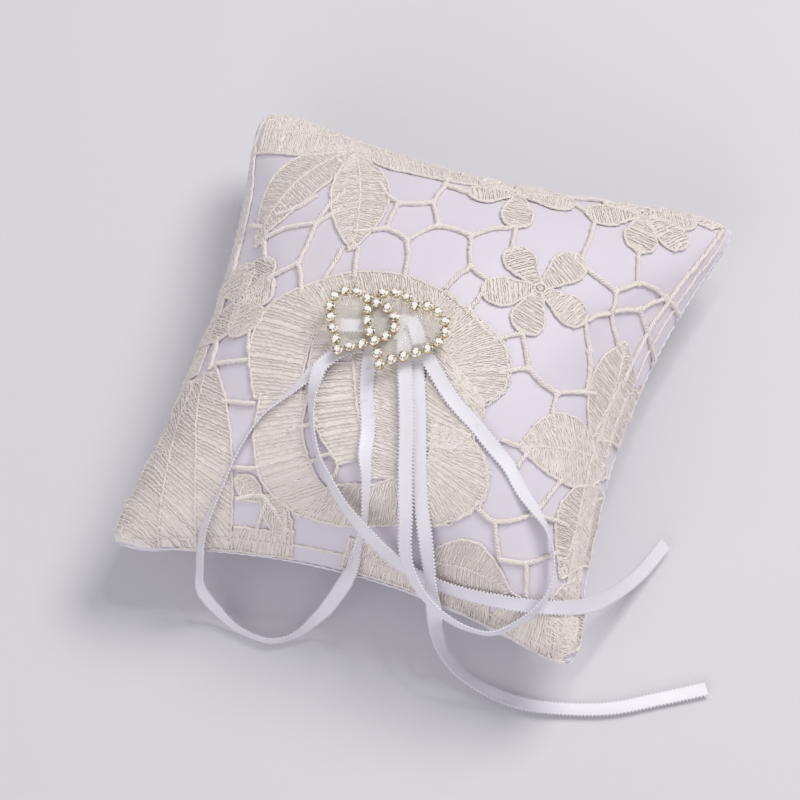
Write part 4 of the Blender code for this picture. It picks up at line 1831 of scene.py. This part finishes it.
    def build(self) -> list[Object]:
        """Draws the lace, and builds and dresses its pieces.

        Returns:
            The ground and what lies on it.
        """
        self.draw()
        dress = Finish.LACE.material()
        values = {"Thread_radius": self.satin.radius * MM, "Sides": 4, "Unevenness": 0.2 * MM, "Seed": 3}
        pieces = []
        for kind, threads in self.stitches.items():
            guide = threads.guide(f"{kind}_guide", self.form)
            pieces.append(thread_tree().run(guide, f"lace_{kind}", Finish=dress, **values))
        margin = {
            "Strand_radius": 0.2 * MM, "Winding_radius": 0.17 * MM, "Pitch": 1.3 * MM, "Step": 0.33 * MM,
            "Sides": 4, "Unevenness": 0.22 * MM, "Seed": 7,
        }
        bar = {
            "Strand_radius": 0.23 * MM, "Winding_radius": 0.3 * MM, "Pitch": 2.0 * MM, "Step": 0.25 * MM,
            "Sides": 5, "Unevenness": 0.26 * MM, "Seed": 9,
        }
        for name, threads, strands, values in (
            ("lace_margins", self.margins, 2, margin),
            ("lace_bars", self.bars, 3, bar),
        ):
            guide = threads.guide(name + "_guide", self.form)
            pieces.append(twist_tree(strands).run(guide, name, Finish=dress, **values))
        pieces.append(self.fuzz(pieces, dress))
        places, heights = np.concatenate(self.ground.places), np.concatenate(self.ground.heights)
        cover = self.form.over(places, heights)
        ground = mesh_object("lace_ground", cover, self.ground.faces, Finish.LACE_GROUND.material())
        for piece in [ground, *pieces]:
            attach(piece, BODY)
        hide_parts("lace_overlay")
        return [ground, *pieces]


# ---- ribbons


@dataclass
class Ribbon:
    """One free stretch of satin ribbon: a flat strip with ribs and picot edges."""

    name: str
    node: str
    route: tuple
    far_end: str
    lay: str = "loose"
    width: float = 3.0
    thickness: float = 0.24
    spacing: float = 0.45
    picot_step: float = 0.75
    picot_radius: float = 0.26

    def strip(self) -> tuple[Points, Points, Points]:
        """Works out the route.

        Returns:
            Its points in metres, and the directions across the ribbon and off its face at each.
        """
        rows = smooth_curve(np.array(self.route, float) * np.array([MM, MM, MM, 1.0]), self.spacing * MM)
        path, twist = rows[:, :3], np.radians(rows[:, 3])[:, None]
        tangent = np.gradient(path, axis=0)
        tangent /= np.linalg.norm(tangent, axis=1, keepdims=True)
        up = np.array([0.0, 0.0, 1.0]) - tangent * tangent[:, 2:]
        up /= np.linalg.norm(up, axis=1, keepdims=True)
        side = np.cross(tangent, up)
        across = side * np.cos(twist) + up * np.sin(twist)
        face = up * np.cos(twist) - side * np.sin(twist)
        return path, across, face

    def strip_object(self) -> Object:
        """Builds the strip with its picots.

        Returns:
            The piece.
        """
        path, across, face = self.strip()
        shares = np.array([-1.0, -0.9, -0.78, -0.4, 0.0, 0.4, 0.78, 0.9, 1.0])
        selvage = np.array([0.8, 1.25, 1.0, 0.85, 0.8, 0.85, 1.0, 1.25, 0.8]) * self.thickness / 2
        half = self.width / 2 * 0.88
        offsets = [across * (s * half * MM) for s in shares]
        lifts = [face * (t * MM) for t in selvage]
        over = [path + offset + lift for offset, lift in zip(offsets, lifts)]
        under = [path + offset - lift for offset, lift in zip(offsets[::-1], lifts[::-1])]
        ring = np.stack(over + under, axis=1)
        rows, columns = ring.shape[:2]
        faces = tube_faces(rows, columns)
        strip = mesh_object(self.name, ring.reshape(-1, 3), faces, Finish.RIBBON.material())
        turn_outward(strip)
        lengths = travelled(path)
        layer = strip.data.uv_layers.new(name="strip")
        for loop in strip.data.loops:
            row, column = divmod(loop.vertex_index, columns)
            layer.data[loop.index].uv = (lengths[row], column / columns)
        strip.data.set_sharp_from_angle(angle=math.radians(50))
        return join([strip, self.picots(path, across)], self.name)

    def build(self) -> Object:
        """Returns:
            The piece.
        """
        done = self.strip_object()
        path = self.strip()[0]
        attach(done, BODY)
        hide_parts(self.node)
        return done

    def picots(self, path: Points, across: Points) -> Object:
        """Builds the small loops along both edges.

        Args:
            path: the ribbon's points, in metres.
            across: the direction across it at each.

        Returns:
            The loops, one object.
        """
        edges, points = [], []
        for sign in (-1.0, 1.0):
            start = len(points)
            points.extend(path + across * (sign * self.width / 2 * 0.94 * MM))
            edges.extend((start + k, start + k + 1) for k in range(len(path) - 1))
        guide = mesh_object("picot_guide", np.array(points), [], edges=edges)
        values = {"Step": self.picot_step * MM, "Bead_radius": self.picot_radius * MM}
        return bead_tree().run(guide, self.name + "_picots", Finish=Finish.RIBBON.material(), **values)


def join(parts: list[Object], name: str) -> Object:
    """Joins mesh objects into one.

    Args:
        parts: the objects, which are used up; the first keeps its data.
        name: the result's name.

    Returns:
        The joined object.
    """
    with bpy.context.temp_override(
        active_object=parts[0], object=parts[0], selected_objects=parts, selected_editable_objects=parts
    ):
        bpy.ops.object.join()
    parts[0].name = name
    return parts[0]


# Routes of the ribbons: x, y, z in millimetres, and the twist in degrees from lying level.
ROUTES = {
    "ribbon_loop_left": (
        (-13, -9, 44.5, -5), (-14.5, -12, 43.5, -10), (-17.5, -17, 42.3, -20),
        (-20.5, -22, 41, -50), (-25, -28, 38.5, -65), (-27.5, -35, 35.5, -70),
        (-29, -42.5, 31, -65), (-30.5, -49, 25, -50), (-30.5, -53, 16, -55),
        (-29.5, -55.5, 9, -60), (-25.5, -57, 4, -70), (-21, -58.5, 2, -85), (-14, -59, 2, -95),
        (-9.5, -56.5, 2.5, -90), (-5.5, -53, 7, -65), (-2.5, -50.5, 14, -50),
        (0, -48, 23, -60), (0.5, -44.5, 29, -75), (0.5, -40.5, 33, -70), (-1, -34.5, 38, -50),
        (-2.5, -30.5, 39.8, -25), (-3.5, -25.5, 41.3, -5), (-6, -18.5, 43.2, 5), (-7.5, -12, 44.5, 5),
        (-8, -9.5, 44.7, 5),
    ),
    "ribbon_loop_right": (
        (-2.9, -4, 46.4, 0), (-0.5, -11, 46, 0), (3.5, -22.5, 43.5, -10), (6, -31, 40, -10),
        (8.5, -39, 35.2, -20), (10, -44, 31.2, -35), (11.5, -46.5, 29.2, -55), (14, -49, 27.3, -70),
        (18, -51.5, 25.5, -85), (22.5, -52.5, 23, -92), (26.5, -52.5, 21.5, -98),
        (30.5, -52, 21.5, -100), (35, -50, 25, -95), (38, -47.5, 28.5, -90), (39.5, -43.5, 30, -90),
        (39, -38.5, 31, -90), (37.5, -35, 32, -85), (35.5, -32, 33, -65), (32.5, -29.5, 34.2, -35),
        (29, -27, 35.5, -20), (25, -23.5, 38, -5), (21.5, -21.5, 39.5, 5), (16.5, -18.5, 41.5, 5),
        (11, -15.5, 43.4, 5), (5.5, -11, 45.6, 10), (3, -8.5, 46.3, 10),
    ),
    "ribbon_tail_upper": (
        (-9.8, -10.5, 45.5, 0), (-13, -12.5, 45.2, -5), (-16, -16.5, 44.6, -10),
        (-16.3, -19, 44, -20), (-16, -22.5, 43, -55), (-14.5, -27.5, 41, -75), (-11.5, -33, 38.5, -80),
        (-7.5, -37, 36.5, -75), (-3.5, -40.5, 35, -70), (1, -43.5, 34.3, -60), (5.5, -45, 30.6, -65),
        (10, -45.3, 25.9, -65), (16.5, -46.2, 24.2, -65), (23, -46.5, 24, -60), (30.5, -46.7, 25.7, -50),
        (36.5, -46, 26, -45), (42, -44.3, 25.3, -45), (46.7, -40, 20, -50), (51, -31, 10.5, -50),
        (54.5, -22, 4.5, -40), (57, -14, 2.5, -35),
    ),
    "ribbon_tail_lower": (
        (-1.5, -4.5, 45.4, 0), (1.5, -10, 45, 0), (4.5, -17.5, 43.5, 0), (7.5, -26.5, 40.5, -5),
        (10.5, -35, 36, -10), (14, -42.5, 31, -30), (16.5, -47.5, 25.5, -50), (18, -50, 18.5, -20),
        (19, -51, 11, 10), (21, -52.5, 6, 25), (25, -54.5, 3, 30), (31, -56, 2, 20),
        (38.5, -56.5, 1.5, 10), (46.5, -55, 1, 10), (56, -52, 1, 5), (65, -47, 1, 0),
        (73.5, -42, 1, 0),
    ),
}


def ribbons() -> list[Ribbon]:
    """Lists the two ribbons' free stretches: a loop, which comes back to the knot, and a cut tail each.

    Returns:
        The ribbons.
    """
    made = []
    for node, route in ROUTES.items():
        made.append(Ribbon("satin_" + node, node, route, "object" if "loop" in node else "bare"))
    return made


# ---- the ornament


@dataclass(frozen=True)
class Heart:
    """One heart's outline in the ornament's own frame, in millimetres."""

    centre: tuple[float, float]
    half: tuple[float, float]
    turn: float

    def line(self, count: int) -> Points:
        """Works out the heart's outline.

        Args:
            count: how many points.

        Returns:
            Points evenly spaced round it from its tip, in millimetres.
        """
        t = np.linspace(math.pi, 3 * math.pi, 721)
        x = self.half[0] * (np.sin(t) - 0.303 * np.sin(3 * t))
        y = self.half[1] * (np.cos(t) - 0.25 * np.cos(2 * t) - 0.079 * np.cos(3 * t) - 0.013 * np.cos(4 * t))
        turn = math.radians(self.turn)
        across = self.centre[0] + x * math.cos(turn) - y * math.sin(turn)
        along = self.centre[1] + x * math.sin(turn) + y * math.cos(turn)
        return evenly(np.column_stack([across, along]), count + 1)[:-1]


@dataclass
class Ornament:
    """Two linked hearts: wire, claw cups, cut stones, clear glue, and the ribbon folds below."""

    form: PillowForm
    left: Heart = Heart((-6.05, -0.74), (5.5, 6.56), -15.0)
    right: Heart = Heart((2.8, 0.1), (6.45, 7.9), -11.5)
    left_fold: tuple = ((-10.5, -2.6, -0.6), (-7.5, -1.8, -0.45), (-3.0, -0.6, -0.45))
    right_fold: tuple = (
        (1.3, -2.2, -0.7), (1.7, 1.0, -0.5), (3.4, 2.6, -0.45), (5.4, 0.6, -0.55), (6.8, -1.9, -0.8),
    )
    lift: float = 2.4
    stone: float = 2.08
    girdle: float = 1.2
    film_height: float = 0.15
    film_depth: float = 0.6
    cup_sides: int = 16
    wire_radius: float = 0.33
    seed: int = 12

    def __post_init__(self) -> None:
        """Finds the hearts' own frame on the pillow."""
        u, v, step = -0.117, -0.098, 0.01
        across = self.form.rest_point(u + step, v) - self.form.rest_point(u - step, v)
        along = self.form.rest_point(u, v + step) - self.form.rest_point(u, v - step)
        self.up = across.cross(along).normalized()
        right = (Vector((1, 0, 0)) - self.up * self.up.x).normalized()
        turned = Matrix((right, self.up.cross(right), self.up)).transposed().to_4x4()
        self.frame = Matrix.Translation(self.form.rest_point(u, v) + self.up * self.lift * MM) @ turned

    def place(self, points: Points) -> Points:
        """Points of the hearts' own frame, in millimetres, as places in metres."""
        turned = np.array(self.frame)
        return np.asarray(points, float) * MM @ turned[:3, :3].T + turned[:3, 3]

    def stone_places(self) -> Points:
        """Reads the stones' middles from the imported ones.

        Returns:
            The same places at the girdle's height, in metres.
        """
        names = sorted(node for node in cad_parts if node.startswith("stone_"))
        middles = np.array([sum(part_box(name), Vector()) / 2 for name in names])
        back = np.array(self.frame.inverted())
        flat = (middles @ back[:3, :3].T + back[:3, 3]) / MM
        flat[:, 2] = self.girdle
        return self.place(flat)

    def spots(self, name: str, places: Points) -> Object:
        """Makes loose points that know which way is up.

        Args:
            name: the object's name.
            places: where they are, in metres.

        Returns:
            The points, one object.
        """
        made = mesh_object(name, places, [])
        upright = made.data.attributes.new("upright", "FLOAT_VECTOR", "POINT")
        upright.data.foreach_set("vector", np.tile(self.up, len(places)))
        return made

    def ring(self, built: bmesh.types.BMesh, radius: float, height: float, turns: list) -> list:
        """Adds vertices on a level circle.

        Args:
            built: what they are added to.
            radius: the circle's, in millimetres.
            height: the circle's, in millimetres.
            turns: the angle of each.

        Returns:
            The vertices.
        """
        r, z = radius * MM, height * MM
        return [built.verts.new((r * math.cos(turn), r * math.sin(turn), z)) for turn in turns]

    def claw_cup(self) -> Object:
        """Builds one cup: a thin collar under the girdle with four claws that bend over it.

        Returns:
            The cup, with the stone's middle at the origin.
        """
        built = bmesh.new()
        outer, inner = self.stone / 2 + 0.04, self.stone / 2 - 0.04
        profile = (
            (outer * 0.8, -1.15), (outer, -0.25), (outer, 0.0),
            (inner, 0.0), (inner * 0.9, -0.62), (0.1, -0.68),
        )
        turns = [2 * math.pi * k / self.cup_sides for k in range(self.cup_sides)]
        loops = [self.ring(built, radius, height, turns) for radius, height in profile]
        for first, second in zip(loops, loops[1:]):
            for k in range(self.cup_sides):
                m = (k + 1) % self.cup_sides
                built.faces.new((first[k], first[m], second[m], second[k]))
        built.faces.new(loops[0])
        built.faces.new(loops[-1])
        claw = ((outer, -0.5, 0.16), (outer + 0.02, 0.1, 0.17), (outer - 0.24, 0.38, 0.15))
        taller = Matrix.Diagonal((1, 1, 1.3, 1))
        for turn in (math.pi / 4 + k * math.pi / 2 for k in range(4)):
            out = Vector((math.cos(turn), math.sin(turn), 0))
            for radius, height, size in claw:
                shape = Matrix.Translation(out * radius * MM + Vector((0, 0, height * MM))) @ taller
                bmesh.ops.create_icosphere(built, subdivisions=1, radius=size * MM, matrix=shape)
        cup = from_bmesh(built, "claw_cup")
        cup.data.shade_smooth()
        return cup

    def cut_stone(self) -> Object:
        """Builds one stone: an eight-sided brilliant with a table, star and kite facets and a pointed back.

        Returns:
            The stone, with its girdle's middle at the origin.
        """
        built = bmesh.new()
        r = self.stone / 2
        half = math.pi / 8
        turns = [math.pi / 4 * k for k in range(8)]
        table = self.ring(built, 0.55 * r, 0.34 * r, turns)
        kite = self.ring(built, 0.8 * r, 0.19 * r, [turn + half for turn in turns])
        rim = self.ring(built, r, 0.0, [k * half for k in range(16)])
        low = self.ring(built, 0.45 * r, -0.28 * r, turns)
        tip = built.verts.new((0, 0, -0.5 * r * MM))
        built.faces.new(table)
        for k in range(8):
            m = (k + 1) % 8
            a, b, c = rim[2 * k], rim[2 * k + 1], rim[(2 * k + 2) % 16]
            for corners in (
                (table[k], kite[k], table[m]), (table[k], kite[k - 1], a, kite[k]),
                (kite[k], a, b), (kite[k], b, c), (a, low[k], b), (b, low[m], c),
                (low[k], low[m], b), (low[m], low[k], tip),
            ):
                built.faces.new(corners)
        stone = from_bmesh(built, "cut_stone")
        # Each facet's random number picks its painted reflection; the table facet always gets the painted
        # glint.
        painted_reflection_picks = np.random.default_rng(self.seed).uniform(0.0, 1.0, len(stone.data.polygons))
        painted_reflection_picks[0] = 0.0
        stone.data.attributes.new("facet", "FLOAT", "FACE").data.foreach_set("value", painted_reflection_picks)
        return stone

    def copies(self, name: str, shape: Object, turned: bool, finish: Finish) -> Object:
        """Sets a copy of a shape at every stone's place.

        Args:
            name: the result's name.
            shape: what is copied, which is used up.
            turned: whether each copy is turned at random.
            finish: its finish.

        Returns:
            The copies, one object.
        """
        spots = self.spots(name + "_spots", self.stone_places())
        made = copies_tree(turned).run(spots, name, Copied=shape, Seed=self.seed, Finish=finish.material())
        bpy.data.objects.remove(shape, do_unlink=True)
        return made

    def wires(self) -> Object:
        """Builds the hearts' wires, under the cups.

        Returns:
            Both wires, one object.
        """
        runs, edges, start = [], [], 0
        for heart, height in ((self.left, 0.28), (self.right, 0.3)):
            flat = heart.line(150)
            runs.append(self.place(np.column_stack([flat, np.full(len(flat), height)])))
            edges += [(start + k, start + (k + 1) % len(flat)) for k in range(len(flat))]
            start += len(flat)
        guide = edge_guide("wire_guide", np.concatenate(runs), edges, np.ones(start))
        values = {"Thread_radius": self.wire_radius * MM, "Sides": 10, "Unevenness": 0.0, "Seed": 1}
        return thread_tree().run(guide, "heart_wires", Finish=Finish.GOLD.material(), **values)

    def glue_film(self, name: str, heart: Heart, node: str) -> Object:
        """Builds a thin clear film that fills a heart almost to its wire, a little higher in its middle.

        Args:
            name: the piece's name.
            heart: the heart that it fills.
            node: the solid that it stands for.

        Returns:
            The piece.
        """
        outline = heart.line(64)
        middle = outline.mean(axis=0)
        shares = np.array([0.05, 0.25, 0.5, 0.7, 0.82, 0.86])
        heights = np.array([0.25, 0.2, 0.1, 0.0, -0.15, -0.4]) + self.film_height
        random = np.random.default_rng(self.seed)
        rings = []
        for share, height in zip(shares, heights):
            flat = middle + (outline - middle) * share
            rings.append(np.column_stack([flat, height + random.normal(0, 0.03, len(flat))]))
        for share in shares[::-1]:
            flat = middle + (outline - middle) * share
            rings.append(np.column_stack([flat, np.full(len(flat), self.film_height - self.film_depth)]))
        points = self.place(np.concatenate(rings))
        faces = tube_faces(len(rings), len(outline))
        made = mesh_object(name, points, faces, Finish.GLUE.material())
        turn_outward(made)
        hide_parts(node)
        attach(made, BODY)
        return made

    def fold(self, name: str, route: tuple, node: str) -> Object:
        """Builds the folded middle of a ribbon, under a heart.

        Args:
            name: the piece's name.
            route: its places in the hearts' own frame, in millimetres.
            node: the solid that it stands for.

        Returns:
            The piece.
        """
        points = self.place(np.array(route, float)) / MM
        flat = Ribbon(name, node, tuple((*p, 0.0) for p in points), "bare")
        made = flat.strip_object()
        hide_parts(node)
        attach(made, BODY)
        return made

    def build(self) -> list[Object]:
        """Builds and dresses the ornament's pieces.

        Returns:
            The casting, the stones, the glue and the ribbon folds.
        """
        cups = self.copies("claw_cups", self.claw_cup(), False, Finish.GOLD)
        casting = join([self.wires(), cups], "heart_casting")
        stones = self.copies("heart_stones", self.cut_stone(), True, Finish.STONE)
        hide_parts("double_heart_casting")
        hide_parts(*sorted(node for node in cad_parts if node.startswith("stone_")))
        for piece, slot in ((casting, "gold"), (stones, "stone")):
            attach(piece, BODY)
        glue = [
            self.glue_film("glue_left", self.left, "clear_glue_left"),
            self.glue_film("glue_right", self.right, "clear_glue_right"),
        ]
        folds = [
            self.fold("fold_left", self.left_fold, "ribbon_fold_left"),
            self.fold("fold_right", self.right_fold, "ribbon_fold_right"),
        ]
        return [casting, stones, *glue, *folds]


# ---- studio


@dataclass(frozen=True)
class AreaLight:
    """One soft lamp, aimed at the pillow."""

    name: str
    place: tuple[float, float, float]
    size: float
    power: float
    tint: tuple[float, float, float] = (1.0, 1.0, 1.0)

    def build(self) -> Object:
        """Builds the lamp.

        Returns:
            The lamp.
        """
        data = bpy.data.lights.new(self.name, "AREA")
        data.shape = "DISK"
        data.size = self.size
        data.energy = self.power
        data.color = self.tint
        lamp = link(bpy.data.objects.new(self.name, data))
        lamp.location = self.place
        aim = Vector((0.0, 0.0, 0.02)) - lamp.location
        lamp.rotation_euler = aim.to_track_quat("-Z", "Y").to_euler()
        return lamp


@dataclass(frozen=True)
class Studio:
    """Plain pale floor, soft light from the back right, and the camera."""

    azimuth: float = 17.5
    elevation: float = 63.0
    distance: float = 0.7
    lens: float = 152.46
    target: tuple[float, float, float] = (-0.003269, -0.005188, 0.015687)
    lights: tuple = (
        AreaLight("key", (0.30, 0.50, 0.80), 0.50, 5.2, (1.0, 0.985, 0.97)),
        AreaLight("fill", (-0.12, -0.80, 0.50), 0.8, 2.6, (0.97, 0.98, 1.0)),
        AreaLight("sparkle", (0.05, 0.25, 0.9), 0.06, 0.5, (1.0, 1.0, 1.0)),
    )

    def camera(self) -> Object:
        """Builds the camera and makes it the scene's.

        Returns:
            The camera.
        """
        data = bpy.data.cameras.new("camera")
        data.lens = self.lens
        data.sensor_width = 36.0
        data.clip_start, data.clip_end = 0.05, 10.0
        camera = link(bpy.data.objects.new("camera", data))
        azimuth, elevation = math.radians(self.azimuth), math.radians(self.elevation)
        level = math.cos(elevation)
        back = Vector((math.sin(azimuth) * level, -math.cos(azimuth) * level, math.sin(elevation)))
        camera.location = Vector(self.target) + back * self.distance
        right = Vector((math.cos(azimuth), math.sin(azimuth), 0.0))
        turned = Matrix((right, back.cross(right), back)).transposed()
        camera.rotation_euler = turned.to_euler()
        bpy.context.scene.camera = camera
        return camera

    def build(self) -> None:
        """Builds the floor, the lamps, the sky and the camera."""
        half = 1.5
        corners = np.array([(-half, -half, 0), (half, -half, 0), (half, half, 0), (-half, half, 0)])
        floor = mesh_object("floor", corners, [(0, 1, 2, 3)], Finish.FLOOR.material())
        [lamp.build() for lamp in self.lights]
        world = bpy.data.worlds.new("soft sky")
        world.use_nodes = True
        sky = world.node_tree.nodes["Background"]
        sky.inputs[0].default_value = (0.95, 0.95, 1.0, 1.0)
        sky.inputs[1].default_value = 0.42
        bpy.context.scene.world = world
        bpy.context.scene.view_settings.view_transform = "Standard"
        self.camera()


def main() -> None:
    """Builds the camera, the ribbons, the case, the lace and the ornament."""
    logging.basicConfig(level=logging.INFO, format="%(message)s")
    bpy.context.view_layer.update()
    Studio().build()
    pieces = [ribbon.build() for ribbon in ribbons()]
    form = PillowForm()
    case = Case(form)
    case.puff()
    pieces += case.build()
    pieces += Lace(form).build()
    pieces += Ornament(form).build()
    for piece in pieces:
        LOG.info("%s: %d faces", piece.name, len(piece.data.polygons))


if __name__ == "__main__":
    main()
